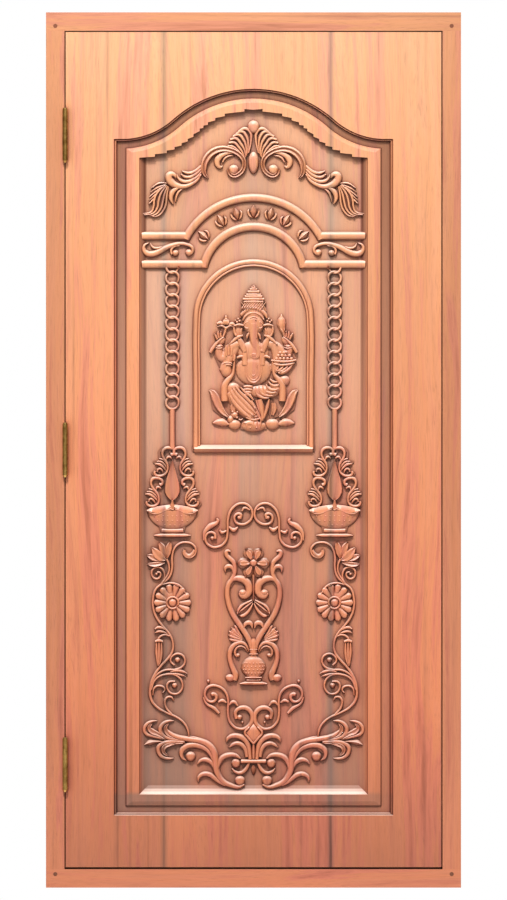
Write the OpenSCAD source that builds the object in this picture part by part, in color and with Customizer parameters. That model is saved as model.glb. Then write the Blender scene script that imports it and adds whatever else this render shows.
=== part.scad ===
// Carved temple door: a leaf of three edge-glued teak boards with a raised relief,
// hung on three butt hinges in a four-piece rebated frame.
// Millimetres. X runs across the opening, +Y from the carved face to the back, +Z up.
// The origin is the middle of the threshold's underside, halfway through the frame's depth.

/* [Leaf] */
// Width of the leaf
leaf_w = 914; // [760:1:1100]
// Height of the leaf
leaf_h = 2032; // [1690:1:2440]
// Thickness of the leaf
leaf_t = 40; // [34:1:50]
// Distance of the left glue joint from the leaf's centre line
left_joint = 218; // [150:1:262]
// Distance of the right glue joint from the leaf's centre line
right_joint = 188; // [150:1:225]
// Width of a loose tongue across its glue joint
tongue_w = 26; // [18:1:32]
// Thickness of a loose tongue
tongue_t = 8; // [6:0.5:10]

/* [Carved panel] */
// Plain border at each side of the panel
side_border = 117; // [95:1:140]
// Plain border under the panel
bottom_border = 126; // [100:1:150]
// Plain border above the panel's square shoulders
shoulder_border = 260; // [220:1:310]
// Rise of the panel's arch above its shoulders
arch_rise = 122; // [90:1:140]
// Radius of the arch's crown
crown_r = 295; // [240:1:330]
// Half width of the arch, from the centre line to where it leaves the shoulder
arch_half = 320; // [300:1:330]
// Depth of the sunk ring round the panel
ring_depth = 9; // [6:0.5:10]
// Depth of the raised band inside the ring
band_depth = 2; // [1:0.5:4]
// Depth of the panel's ground
ground_depth = 14; // [11:0.5:16]
// Width of the hollow slope from the band down to the ground
cove_w = 22; // [14:1:28]
// Height of the relief's level core above the ground
core_h = 3; // [2:0.5:5]
// Share of each stroke's width that the level core keeps
core_share = 0.76; // [0.6:0.02:0.8]

/* [Frame] */
// Face width of a frame member
member_w = 60; // [50:1:80]
// Depth of the frame
frame_d = 100; // [80:1:130]
// Width of the rebate that the leaf closes into
rebate_w = 15; // [12:1:20]
// Gap between the leaf and the frame at the sides and the top
gap = 3; // [2:0.5:4]
// Gap under the leaf
bottom_gap = 5; // [4:0.5:8]
// Clearance between the leaf's back and the stop
stop_gap = 1; // [0.5:0.5:3]
// Thickness of a tenon
tenon_t = 24; // [18:1:30]
// Width of a tenon
tenon_w = 34; // [26:1:40]
// Length of a tenon
tenon_l = 40; // [25:1:42]
// Diameter of a peg through a corner
peg_d = 10; // [6:1:12]
// Diameter of a wall fixing hole
fixing_d = 10; // [8:1:12]
// Distance between neighbouring wall fixing holes
fixing_pitch = 600; // [450:10:620]

/* [Hinges] */
// Height of a hinge
hinge_h = 125; // [100:5:150]
// Thickness of a hinge plate
plate_t = 3; // [2.5:0.5:4]
// Reach of a plate into the wood, from the door's face
plate_reach = 34; // [28:1:36]
// Outer radius of a knuckle
knuckle_r = 6.5; // [5.5:0.5:7]
// Radius of a hinge pin
pin_r = 3.2; // [2.8:0.1:4]
// Distance of the top hinge's middle below the leaf's top, and of the bottom one's above its foot
hinge_inset = 250; // [200:5:300]
// Radius of a screw's shank
screw_r = 2.2; // [1.8:0.1:2.6]
// Length of a screw
screw_l = 35; // [28:1:38]

/* [Hidden] */
slack = 0.1;              // clearance of pegs, tenons, tongues and screws in their holes
turn_slack = 0.05;        // radial clearance of a pin in its knuckles
knuckle_gap = 0.4;        // gap between neighbouring knuckles
knuckles = 5;             // knuckles in one hinge
past = 1;                 // how far a cut runs past the face it opens

face_y = -frame_d / 2;                        // carved face of the leaf, flush with the frame's front
back_y = face_y + leaf_t;                     // back of the leaf
ground_y = face_y + ground_depth;             // ground of the panel
stop_y = back_y + stop_gap;                   // face of the stop
web_y = (ground_y + back_y) / 2;              // middle of the wood behind the ground
rebate_x = leaf_w / 2 + gap;                  // side wall of the rebate
inner_x = rebate_x - rebate_w;                // reveal behind the leaf
outer_x = inner_x + member_w;                 // outer side of the frame
sill_front = member_w - rebate_w;             // top of the threshold under the leaf
leaf_z = sill_front + bottom_gap;             // underside of the leaf
head_front = leaf_z + leaf_h + gap;           // underside of the head above the leaf
head_back = head_front - rebate_w;            // underside of the head's stop
frame_h = head_back + member_w;               // overall height
half_w = leaf_w / 2;

panel_half = half_w - side_border;
shoulder_z = leaf_h - shoulder_border;
ogee_sum = (arch_half * arch_half + arch_rise * arch_rise) / (2 * arch_rise);
hollow_r = ogee_sum - crown_r;                // radius of the hollow beside the crown
crown_turn = asin(arch_half / ogee_sum);      // angle of both arcs
arc_steps = 14;

// The relief is drawn for a panel of this size and stretched to the panel's own.
drawn_half = 340;
drawn_foot = 126;
drawn_shoulder = 1772;
relief_kx = panel_half / drawn_half;
relief_kz = (shoulder_z - bottom_border) / (drawn_shoulder - drawn_foot);

hinge_x = -(half_w + gap / 2);
hinge_y = face_y - knuckle_r - 0.5;
// From the bottom hinge to the top one.
hinge_zs = [leaf_z + hinge_inset, leaf_z + leaf_h / 2, leaf_z + leaf_h - hinge_inset];
plate_y = face_y + plate_reach;               // inner edge of a plate
knuckle_h = hinge_h / knuckles;
screw_head_r = screw_r * 2;
screw_rows = [-0.37, -0.14, 0.14, 0.37];      // screw heights as shares of the hinge's height

peg_x = inner_x + member_w * 0.62;
tenon_y = (stop_y + frame_d / 2) / 2;         // tenons stand in the middle of the stop
peg_l = frame_d - 8;
fixing_y = tenon_y;

wood = "#c98a63";
frame_wood = "#c08058";
brass = "#b08d4a";

// ---- the panel's outline ----

// The hollow on the right half, moved inwards by d; it starts at the side wall, which stands dx in.
function wall_turn(dx, d) = asin(max(0, arch_half - panel_half + dx) / (hollow_r + d));
function hollow_arc(dx, d) = [for (i = [1 : arc_steps])
    let (from = wall_turn(dx, d), a = from + (crown_turn - from) * i / arc_steps)
    [arch_half - (hollow_r + d) * sin(a), shoulder_z + hollow_r - (hollow_r + d) * cos(a)]];
// The crown's right half, moved inwards by d; from the hollow to the top.
function crown_arc(d) = [for (i = [arc_steps - 1 : -1 : 0])
    let (a = crown_turn * i / arc_steps)
    [(crown_r - d) * sin(a), shoulder_z + arch_rise - crown_r + (crown_r - d) * cos(a)]];
function flip_x(points) = [for (i = [len(points) - 1 : -1 : 0]) [-points[i].x, points[i].y]];

// The whole outline, moved inwards by dx at the sides and dz at the foot and the top.
function panel_outline(dx, dz) =
    let (corner = shoulder_z + hollow_r - (hollow_r + dz) * cos(wall_turn(dx, dz)),
         right = concat([[panel_half - dx, bottom_border + dz], [panel_half - dx, corner]],
                        hollow_arc(dx, dz), crown_arc(dz)))
    concat(right, flip_x([for (i = [0 : len(right) - 2]) right[i]]));

// Height at x of an ogee that climbs by rise from its foot, with the crown's radius given.
function ogee_z(x, foot, rise, half, crown) =
    let (sum = (half * half + rise * rise) / (2 * rise), hollow = sum - crown)
    abs(x) < crown * half / sum ? foot + rise - crown + sqrt(crown * crown - x * x)
    : abs(x) < half ? foot + hollow - sqrt(hollow * hollow - pow(half - abs(x), 2))
    : foot;

// ---- the moulding round the panel ----

// Each step is [inwards at the sides, inwards at the foot and top, depth below the face].
moulding = [[0, 0, -past], [0, 0, 0], [2.5, 2, 4], [5.5, 4.5, 3], [9, 7, ring_depth],
            [28.5, 22, ring_depth], [31, 24, ring_depth - 3.5], [44, 34, band_depth],
            [57, 46, band_depth]];

// The space that the moulding is cut from, as one closed loft through its steps.
module moulding_cut() {
    rings = [for (m = moulding) [for (p = panel_outline(m.x, m.y)) [p.x, m.z, p.y]]];
    count = len(rings[0]);
    last = len(rings) - 1;
    points = [for (ring = rings) for (p = ring) p];
    sides = [for (r = [0 : last - 1]) for (i = [0 : count - 1])
        let (j = (i + 1) % count)
        [r * count + i, r * count + j, (r + 1) * count + j, (r + 1) * count + i]];
    polyhedron(points, concat(sides,
        [[for (i = [count - 1 : -1 : 0]) i], [for (i = [0 : count - 1]) last * count + i]]));
}

// The ground's outline: square sides and foot, and a top cut in saw-tooth steps under a steeper arch.
ground_dx = 62;
ground_dz = 51;
tooth_ends = [22, 70, 93, 111, 122, 131, 146, 160, 175, 192, 211, 240];
tooth_rise = 3;
function ground_top(x) = ogee_z(x, shoulder_z - 46, arch_rise - 5, arch_half - 30, 200);
module ground_outline() {
    edge = panel_half - ground_dx;
    ends = concat([0], tooth_ends * relief_kx, [edge]);
    half = [for (i = [0 : len(ends) - 2]) each
        [[ends[i], ground_top(ends[i]) - (i > 0 ? tooth_rise : 0)],
         [ends[i + 1], ground_top(ends[i + 1]) + (i < len(ends) - 2 ? tooth_rise : 0)]]];
    polygon(concat(half, [[edge, bottom_border + ground_dz], [-edge, bottom_border + ground_dz]],
                   flip_x(half)));
}

// The hollow slope between the band and the ground, as seen at its end.
cove_steps = [[0, 0], [0.09, 0.3], [0.32, 0.6], [0.64, 0.86], [1, 1]];
module cove_profile() {
    fall = ground_depth - band_depth;
    polygon(concat([for (s = cove_steps) [s.x * cove_w, -s.y * fall]], [[0, -fall - past]]));
}

module cove(length) {
    rotate([90, 0, 90]) translate([0, 0, -length / 2]) linear_extrude(length) cove_profile();
}

// Coves along both sides and the foot, with the panel seen from the front in X and Y.
module coves() {
    edge = panel_half - ground_dx;
    foot = bottom_border + ground_dz;
    top = ground_top(edge) + 6;
    translate([0, foot, 0]) cove(2 * edge);
    for (side = [-1, 1])
        translate([side * edge, (foot + top) / 2, 0]) rotate([0, 0, side * 90]) cove(top - foot);
}

// ---- the relief, drawn in the panel's own X and height ----

// Points of a stroke are [x, height above the leaf's foot, half width].
function along(p, q) = let (d = [q.x - p.x, q.y - p.y]) d / norm(d);
function heading(pts, i) = along(pts[max(i - 1, 0)], pts[min(i + 1, len(pts) - 1)]);
function bank(pts, i, side) = let (d = heading(pts, i), w = (pts[i].z - 0.7) * core_share * side)
    [pts[i].x - d.y * w, pts[i].y + d.x * w];

module stroke(pts) {
    for (i = [0 : len(pts) - 2])
        polygon([bank(pts, i, 1), bank(pts, i + 1, 1), bank(pts, i + 1, -1), bank(pts, i, -1)]);
}

// A low dome under a bead or a bud.
module bead(x, z, rx, rz) {
    hull() {
        translate([x, z]) scale([rx, rz]) linear_extrude(0.5) circle(core_share, $fn = 14);
        translate([x, z]) scale([rx, rz]) linear_extrude(core_h * 1.3) circle(core_share * 0.6, $fn = 10);
    }
}

module both_sides() {
    children();
    mirror([1, 0, 0]) children();
}

// Crossing the panel twice: a rail, an arch and a rail again.
module arched_rail(rail_z, end_x, knee_x, top_z, half) {
    rise = top_z - rail_z;
    r = (knee_x * knee_x + rise * rise) / (2 * rise);
    turn = asin(knee_x / r);
    arc = [for (i = [-10 : 10]) [r * sin(turn * i / 10), top_z - r + r * cos(turn * i / 10), half]];
    both_sides() stroke([[-end_x, rail_z, half], [-knee_x, rail_z, half]]);
    stroke(arc);
}

module niche_rim() {
    spring = 1329;
    r = 141;
    arc = [for (i = [0 : 20]) [-r * cos(9 * i), spring + r * sin(9 * i), 8]];
    stroke(concat([[-r, 1018, 8]], arc, [[r, 1018, 8]]));
    stroke([[-149, 1018, 9], [149, 1018, 9]]);
}

module crest() {
    lobe_a = [[-36, 1789, 2], [-24, 1794, 4], [-11, 1776, 4], [-12, 1742, 2.5]];
    lobe_b = [[-63, 1755, 2], [-48, 1753, 4], [-31, 1741, 4], [-21, 1718, 2.5]];
    both_sides() {
        for (i = [0 : 5]) stroke(lobe_a + (lobe_b - lobe_a) * i / 5);
        stroke([[-112, 1678, 1.5], [-120, 1694, 7], [-119, 1715, 8], [-110, 1732, 8], [-93, 1744, 8],
                [-71, 1747, 7], [-49, 1742, 7], [-33, 1730, 7], [-24, 1712, 7], [-25, 1695, 6],
                [-36, 1685, 6], [-50, 1685, 5]]);
        stroke([[-40, 1733, 1.5], [-64, 1734, 5], [-81, 1726, 7], [-86, 1712, 7], [-78, 1701, 2]]);
        stroke([[-123, 1706, 4], [-138, 1690, 7], [-156, 1680, 8], [-172, 1682, 6]]);
        stroke([[-125, 1688, 2], [-143, 1672, 6], [-166, 1664, 7], [-186, 1666, 8], [-203, 1677, 12],
                [-200, 1690, 6]]);
        stroke([[-176, 1654, 2], [-192, 1646, 5], [-200, 1634, 6], [-201, 1622, 4]]);
        stroke([[-208, 1660, 3], [-226, 1645, 11], [-230, 1622, 11], [-231, 1602, 9], [-243, 1590, 6],
                [-268, 1588, 1.5]]);
        stroke([[-214, 1662, 2], [-238, 1658, 7], [-244, 1640, 8], [-247, 1618, 5]]);
    }
}

module crest_beads() {
    bead(0, 1802, 12, 14);
    bead(0, 1713, 11, 27);
    both_sides() bead(-49, 1699, 11, 11);
}

// Seven small buds stand on the arched band.
bud_turns = [-51, -30.5, -15.5, 0, 15.5, 30.5, 51];
module band_buds() {
    for (turn = bud_turns)
        translate([0, 1438]) rotate(-turn) translate([0, 156])
            stroke([[0, -14, 1], [0, -3, 7], [0, 14, 1]]);
}

module band_scrolls() {
    both_sides() {
        stroke([[-256, 1517, 2], [-266, 1506, 6], [-260, 1495, 8], [-244, 1494, 9], [-226, 1500, 8],
                [-208, 1509, 7], [-190, 1515, 6], [-171, 1516, 5], [-156, 1510, 5], [-148, 1499, 5]]);
        stroke([[-186, 1512, 3], [-198, 1506, 5], [-201, 1496, 5]]);
    }
}

module band_beads() {
    both_sides() {
        bead(-157, 1494, 9.5, 9.5);
        bead(-191, 1491, 9, 9);
    }
}

link_pitch = 27.6;
links = 13;
module chain() {
    both_sides() {
        intersection() {
            for (i = [0 : links - 1]) translate([-198, 1460 - link_pitch * i]) difference() {
                circle(18 - 4 * (1 - core_share), $fn = 18);
                circle(10.5 + 4 * (1 - core_share), $fn = 12);
            }
            translate([-220, 1100]) square([44, 360]);
        }
        stroke([[-197.5, 1114, 8], [-197.5, 1016, 8]]);
    }
}

module lamp_scroll() {
    stroke([[6, 60, 3], [5, 67, 4], [12, 72, 4], [24, 71, 4], [32, 62, 4], [31, 49, 4], [23, 37, 4],
            [17, 24, 4], [19, 11, 4], [30, 3, 4], [43, 3, 4], [50, 11, 3]]);
    stroke([[20, 27, 2], [33, 35, 6], [47, 38, 2]]);
    stroke([[30, 10, 2], [36, 18, 3], [46, 12, 2]]);
}

module lamp() {
    both_sides() translate([-197.5, 0]) {
        both_sides() {
            translate([0, 948]) lamp_scroll();
            translate([20, 874]) lamp_scroll();
        }
        stroke([[0, 994, 1], [0, 965, 9], [0, 940, 17], [0, 918, 21], [0, 902, 17], [0, 891, 3]]);
        stroke([[0, 876, 70], [0, 862, 80], [0, 846, 68], [0, 832, 44], [0, 812, 37]]);
        stroke([[-44, 807, 2], [-30, 807, 6], [30, 807, 6], [44, 807, 2]]);
    }
}

vine_stem = [[-169, 774, 1.5], [-170, 762, 3], [-160, 753, 3], [-146, 757, 3], [-140, 770, 3],
    [-147, 784, 3], [-163, 790, 3], [-180, 787, 3], [-193, 774, 3], [-198, 755, 3.5], [-198, 728, 3.5],
    [-204, 707, 3.5], [-220, 691, 3], [-237, 677, 3], [-244, 656, 3.5], [-244, 630, 3.5],
    [-236, 607, 3.5], [-220, 585, 3], [-204, 566, 3], [-196, 545, 3], [-198, 523, 3.5],
    [-211, 504, 3.5], [-228, 486, 3.5], [-243, 462, 4], [-251, 435, 4], [-249, 408, 4],
    [-236, 390, 3.5], [-213, 376, 3], [-188, 365, 3], [-169, 350, 3], [-159, 331, 3], [-157, 317, 2]];

module vine() {
    both_sides() {
        stroke(vine_stem);
        stroke([[-212, 750, 3], [-206, 736, 3], [-206, 718, 3], [-220, 694, 3]]);
        stroke([[-226, 686, 2], [-218, 699, 3], [-218, 718, 3], [-228, 729, 3], [-242, 727, 3],
                [-248, 714, 3], [-240, 702, 3], [-228, 705, 3], [-227, 716, 2.5], [-235, 718, 2]]);
        stroke([[-212, 756, 3], [-214, 772, 13], [-215, 786, 8]]);
        stroke([[-213, 754, 3], [-230, 760, 10], [-246, 773, 2]]);
        stroke([[-215, 749, 3], [-237, 744, 13], [-255, 743, 8]]);
        stroke([[-224, 687, 2], [-200, 691, 3], [-178, 683, 3], [-163, 661, 2]]);
        stroke([[-211, 568, 2], [-225, 575, 6], [-238, 577, 4]]);
        stroke([[-203, 562, 2.5], [-217, 565, 3], [-230, 557, 3], [-231, 547, 4]]);
        stroke([[-231, 546, 5], [-230, 520, 11], [-230, 496, 3]]);
        stroke([[-248, 442, 3], [-238, 465, 3], [-215, 479, 3], [-188, 481, 3], [-171, 490, 3],
                [-167, 505, 3], [-178, 518, 3], [-194, 516, 3], [-202, 503, 3], [-193, 491, 2.5]]);
        stroke([[-214, 472, 2], [-190, 473, 5], [-163, 469, 2]]);
        stroke([[-249, 432, 3], [-238, 457, 3], [-212, 469, 3], [-188, 466, 3], [-173, 447, 3],
                [-178, 427, 3], [-194, 421, 3], [-209, 432, 3], [-207, 449, 3], [-191, 452, 2.5]]);
        stroke([[-245, 418, 2], [-241, 436, 3], [-228, 441, 3], [-216, 433, 3], [-222, 422, 1.5]]);
        stroke([[-199, 371, 3], [-214, 391, 3], [-213, 410, 3], [-201, 414, 3], [-194, 405, 1.5]]);
    }
}

module vine_beads() {
    both_sides() {
        bead(-197, 643, 41, 41);
        bead(-185, 503, 9, 9);
        bead(-193, 441, 9, 9);
    }
}

module foot_scrolls() {
    both_sides() {
        stroke([[-234, 356, 1.5], [-252, 352, 5], [-263, 338, 7], [-252, 323, 7], [-225, 313, 6],
                [-198, 309, 4]]);
        stroke([[-194, 356, 1.5], [-211, 351, 5], [-222, 336, 7], [-210, 320, 8], [-180, 312, 8],
                [-150, 310, 8], [-124, 304, 8], [-103, 288, 8], [-92, 264, 8], [-92, 243, 8],
                [-84, 222, 8], [-66, 204, 8], [-45, 196, 7], [-26, 200, 6]]);
        stroke([[-266, 297, 1], [-246, 305, 7], [-224, 304, 2]]);
        stroke([[-194, 265, 1.5], [-215, 263, 5], [-231, 277, 6], [-224, 296, 6], [-200, 303, 5],
                [-172, 304, 4]]);
        stroke([[-94, 266, 3], [-106, 286, 6], [-130, 297, 7], [-156, 293, 7], [-174, 278, 7],
                [-172, 260, 5]]);
        stroke([[-136, 249, 1.5], [-124, 259, 5], [-107, 256, 6], [-95, 238, 5]]);
        stroke([[-134, 207, 2], [-127, 224, 6], [-106, 225, 7], [-84, 211, 7]]);
        stroke([[-34, 264, 4], [-50, 272, 7], [-72, 266, 7], [-85, 248, 7], [-86, 228, 6]]);
        stroke([[-55, 232, 2], [-38, 229, 5], [-20, 240, 5], [-10, 256, 4]]);
        stroke([[-66, 303, 3], [-56, 317, 7], [-34, 318, 8], [-16, 303, 8], [-7, 280, 7], [-6, 258, 5]]);
        stroke([[-62, 292, 2], [-44, 300, 6], [-25, 293, 6], [-17, 270, 5]]);
    }
    stroke([[-34, 257, 5], [34, 257, 5]]);
    stroke([[0, 352, 1], [0, 324, 22], [0, 296, 2]]);
}

module foot_beads() {
    bead(0, 236, 7, 13);
    both_sides() {
        bead(-154, 268, 13.5, 13.5);
        bead(-35, 209, 13.5, 13.5);
        bead(-43, 252, 12.5, 12.5);
    }
}

module lower_scrolls() {
    both_sides() {
        stroke([[-101, 422, 4], [-92, 418, 4], [-92, 407, 3.5], [-104, 402, 3], [-116, 411, 3],
                [-117, 428, 3], [-106, 440, 3.5], [-88, 440, 3], [-70, 428, 3], [-62, 408, 3],
                [-62, 372, 3], [-55, 349, 3], [-34, 336, 3], [-14, 341, 4], [-3, 359, 5], [-8, 379, 5],
                [-26, 388, 5], [-43, 378, 4], [-42, 361, 4]]);
        stroke([[-122, 414, 2], [-115, 398, 3], [-96, 386, 4], [-84, 374, 3]]);
        stroke([[-66, 400, 2], [-76, 405, 4], [-86, 401, 2]]);
        stroke([[-60, 394, 2], [-49, 402, 4], [-38, 392, 2]]);
    }
}

module upper_scrolls() {
    both_sides() {
        stroke([[-33, 848, 4], [-31, 858, 3.5], [-43, 857, 3], [-45, 842, 3], [-33, 834, 3],
                [-14, 838, 3], [-3, 854, 3], [-8, 875, 3], [-28, 885, 3], [-49, 875, 3], [-61, 852, 3],
                [-63, 815, 3], [-68, 792, 3], [-86, 779, 3], [-106, 781, 3], [-117, 797, 3],
                [-110, 813, 3], [-95, 811, 3], [-93, 799, 3.5]]);
        stroke([[-90, 849, 2], [-87, 841, 4], [-104, 830, 6], [-119, 813, 4], [-121, 795, 2]]);
        stroke([[-66, 818, 2], [-77, 814, 4], [-83, 820, 2]]);
        stroke([[-60, 828, 2], [-48, 820, 5], [-38, 827, 2]]);
        stroke([[-9, 869, 2], [-22, 874, 3], [-28, 866, 2]]);
    }
}

module vase_spray() {
    both_sides() {
        stroke([[-60, 767, 2], [-64, 755, 4], [-50, 744, 5], [-46, 722, 6], [-57, 696, 6],
                [-64, 664, 7], [-58, 630, 7], [-42, 596, 7], [-18, 563, 7], [-5, 536, 7], [-3, 508, 6]]);
        stroke([[-68, 720, 2], [-62, 732, 5], [-52, 724, 4], [-51, 706, 3]]);
        stroke([[-56, 682, 3], [-46, 700, 6], [-22, 698, 8], [-10, 680, 9], [-18, 660, 9],
                [-34, 660, 4]]);
        stroke([[-4, 647, 2], [-18, 630, 9], [-38, 612, 3]]);
        stroke([[-26, 586, 3], [-14, 597, 6], [-3, 586, 4]]);
        stroke([[-26, 546, 3], [-42, 562, 12], [-54, 576, 9]]);
        stroke([[-13, 528, 2], [-22, 542, 5], [-44, 541, 6], [-56, 520, 6], [-54, 492, 6],
                [-44, 464, 8], [-50, 452, 8]]);
        stroke([[-20, 534, 2], [-40, 532, 4], [-45, 517, 4], [-37, 512, 4]]);
    }
    stroke([[0, 528, 9], [0, 512, 14], [0, 500, 26], [0, 484, 29], [0, 470, 26], [0, 460, 17],
            [0, 452, 20], [0, 442, 33]]);
    stroke([[0, 706, 5], [0, 668, 3], [0, 648, 2]]);
}

module vase_beads() {
    bead(0, 741, 32, 28);
    both_sides() bead(-57, 459, 13, 13);
}

// The seated elephant-headed figure on its lotus, as level cores of its main masses.
module figure() {
    stroke([[0, 1415, 3], [0, 1400, 14], [0, 1388, 24], [0, 1372, 24], [0, 1350, 31], [0, 1330, 33],
            [0, 1310, 30], [0, 1292, 26], [0, 1278, 40], [0, 1255, 46], [0, 1235, 44],
            [0, 1215, 47], [0, 1195, 42], [0, 1178, 30]]);
    both_sides() {
        stroke([[-30, 1322, 8], [-42, 1316, 8], [-40, 1296, 9], [-50, 1282, 4]]);
        stroke([[-68, 1090, 2], [-92, 1118, 12], [-104, 1156, 4]]);
        stroke([[-8, 1074, 18], [-30, 1078, 16]]);
        stroke([[-34, 1078, 10], [-48, 1076, 15], [-62, 1080, 11]]);
        stroke([[-62, 1081, 10], [-80, 1081, 12], [-101, 1081, 2]]);
        stroke([[-66, 1188, 9], [-72, 1160, 10], [-68, 1130, 10]]);
    }
    stroke([[-68, 1340, 3], [-68, 1325, 16], [-74, 1310, 5], [-80, 1292, 14], [-84, 1268, 12],
            [-86, 1245, 13], [-76, 1222, 12], [-66, 1202, 10]]);
    stroke([[-62, 1268, 8], [-58, 1245, 13], [-64, 1220, 12]]);
    stroke([[68, 1340, 3], [68, 1322, 12], [76, 1302, 6], [86, 1290, 12], [88, 1266, 8]]);
    stroke([[74, 1254, 16], [74, 1234, 28], [72, 1220, 20], [64, 1204, 10]]);
    stroke([[-58, 1178, 14], [-40, 1162, 20], [-14, 1140, 26], [6, 1112, 26], [10, 1090, 16]]);
    stroke([[-22, 1156, 8], [20, 1158, 16], [52, 1162, 18], [78, 1186, 12]]);
    stroke([[36, 1136, 12], [46, 1112, 14], [52, 1094, 16]]);
}

module relief_lines() {
    arched_rail(1536, 272, 161, 1628.5, 9);
    arched_rail(1466.5, 272, 119.5, 1558, 10);
    niche_rim();
    crest();
    band_buds();
    band_scrolls();
    chain();
    lamp();
    vine();
    foot_scrolls();
    lower_scrolls();
    upper_scrolls();
    vase_spray();
    figure();
}

module relief() {
    translate([0, ground_y, leaf_z]) rotate([90, 0, 0])
        translate([0, bottom_border, 0]) scale([relief_kx, relief_kz, 1]) translate([0, -drawn_foot, 0]) {
            translate([0, 0, -past]) linear_extrude(core_h + past) relief_lines();
            crest_beads();
            band_beads();
            vine_beads();
            foot_beads();
            vase_beads();
        }
}

// ---- the leaf ----

module carved_slab() {
    difference() {
        translate([-half_w, face_y, leaf_z]) cube([leaf_w, leaf_t, leaf_h]);
        translate([0, face_y, leaf_z]) moulding_cut();
        translate([0, ground_y, leaf_z]) rotate([90, 0, 0]) linear_extrude(ground_depth + past)
            ground_outline();
    }
    translate([0, face_y + band_depth, leaf_z]) rotate([90, 0, 0]) coves();
    relief();
}

module tongue_space(x, slack) {
    end = 60;
    translate([x - tongue_w / 2 - slack, web_y - tongue_t / 2 - slack, leaf_z + end - slack])
        cube([tongue_w + 2 * slack, tongue_t + 2 * slack, leaf_h - 2 * end + 2 * slack]);
}

module board(from_x, to_x) {
    color(wood) difference() {
        intersection() {
            carved_slab();
            translate([from_x, face_y - past, leaf_z - past])
                cube([to_x - from_x, leaf_t + 2 * past, leaf_h + 2 * past]);
        }
        tongue_space(-left_joint, slack);
        tongue_space(right_joint, slack);
        if (from_x == -half_w)
            for (z = hinge_zs) {
                plate_space(z, 1);
                screw_holes(z, 1);
            }
    }
}

module tongue(x) {
    color("#a8734f") tongue_space(x, 0);
}

// ---- the hinges ----

// side is 1 for the leaf's plate and -1 for the frame's.
function plate_x(side) = side > 0 ? hinge_x + gap / 2 : hinge_x - gap / 2 - plate_t;
function is_frame_knuckle(k) = k % 2 == 0;

module knuckle(k) {
    translate([hinge_x, hinge_y, -hinge_h / 2 + k * knuckle_h + knuckle_gap / 2])
        cylinder(h = knuckle_h - knuckle_gap, r = knuckle_r, $fn = 48);
}

module plate_space(z, side) {
    translate([plate_x(side) - (side > 0 ? past : 0), face_y - past, z - hinge_h / 2 - slack])
        cube([plate_t + past, plate_reach + past + slack, hinge_h + 2 * slack]);
}

module at_screws(z, side) {
    for (i = [0 : 3])
        translate([hinge_x + side * gap / 2, face_y + (i % 2 == 0 ? 12 : 24), z + screw_rows[i] * hinge_h])
            rotate([0, side * 90, 0]) children();
}

module screw_holes(z, side) {
    at_screws(z, side) cylinder(h = screw_l + 2, r = screw_r + 1.5 * slack, $fn = 20);
}

module screw() {
    difference() {
        union() {
            cylinder(h = plate_t - 0.4, r1 = screw_head_r, r2 = screw_r, $fn = 32);
            cylinder(h = screw_l - 4, r = screw_r, $fn = 32);
            translate([0, 0, screw_l - 4]) cylinder(h = 4, r1 = screw_r, r2 = 0.4, $fn = 32);
        }
        translate([-screw_head_r, -0.5, -past]) cube([2 * screw_head_r, 1, past + 0.8]);
    }
}

module hinge_screws(z, side) {
    color(brass) at_screws(z, side) screw();
}

module hinge_plate(z, side) {
    own = side > 0 ? [1, 3] : [0, 2, 4];
    clear_r = knuckle_r + 0.8;
    color(brass) difference() {
        union() {
            difference() {
                translate([plate_x(side), hinge_y, z - hinge_h / 2 + knuckle_gap / 2])
                    cube([plate_t, plate_y - hinge_y, hinge_h - knuckle_gap]);
                for (k = [0 : knuckles - 1])
                    if (is_frame_knuckle(k) != (side < 0))
                        translate([hinge_x - 2 * knuckle_r, hinge_y - past,
                                   z - hinge_h / 2 + k * knuckle_h - knuckle_gap / 2])
                            cube([4 * knuckle_r, clear_r + past, knuckle_h + knuckle_gap]);
            }
            translate([0, 0, z]) for (k = own) knuckle(k);
        }
        translate([hinge_x, hinge_y, z - hinge_h / 2 - past])
            cylinder(h = hinge_h + 2 * past, r = pin_r + turn_slack, $fn = 48);
        at_screws(z, side) {
            translate([0, 0, -0.01]) cylinder(h = plate_t, r1 = screw_head_r + slack, r2 = screw_r + slack, $fn = 32);
            translate([0, 0, -past]) cylinder(h = plate_t + 2 * past, r = screw_r + slack, $fn = 32);
        }
    }
}

module hinge_pin(z) {
    color(brass) translate([hinge_x, hinge_y, z]) {
        translate([0, 0, -hinge_h / 2 - 1]) cylinder(h = hinge_h + 1, r = pin_r, $fn = 48);
        translate([0, 0, hinge_h / 2]) cylinder(h = 3, r = knuckle_r - 1, $fn = 48);
        translate([0, 0, -hinge_h / 2 - 5]) cylinder(h = 5, r1 = pin_r - 1, r2 = knuckle_r - 1.5, $fn = 48);
    }
}

// ---- the frame ----

module peg_holes() {
    for (side = [-1, 1], z = [sill_front - 12, head_front + 12])
        translate([side * peg_x, face_y - past, z]) rotate([-90, 0, 0])
            cylinder(h = peg_l + past, r = peg_d / 2 + slack, $fn = 40);
}

module tenons(slack) {
    for (side = [-1, 1], top = [0, 1])
        translate([side * peg_x - tenon_w / 2 - slack, tenon_y - tenon_t / 2 - slack,
                   top ? head_back - past : member_w - tenon_l - slack])
            cube([tenon_w + 2 * slack, tenon_t + 2 * slack, tenon_l + past + slack]);
}

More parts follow.
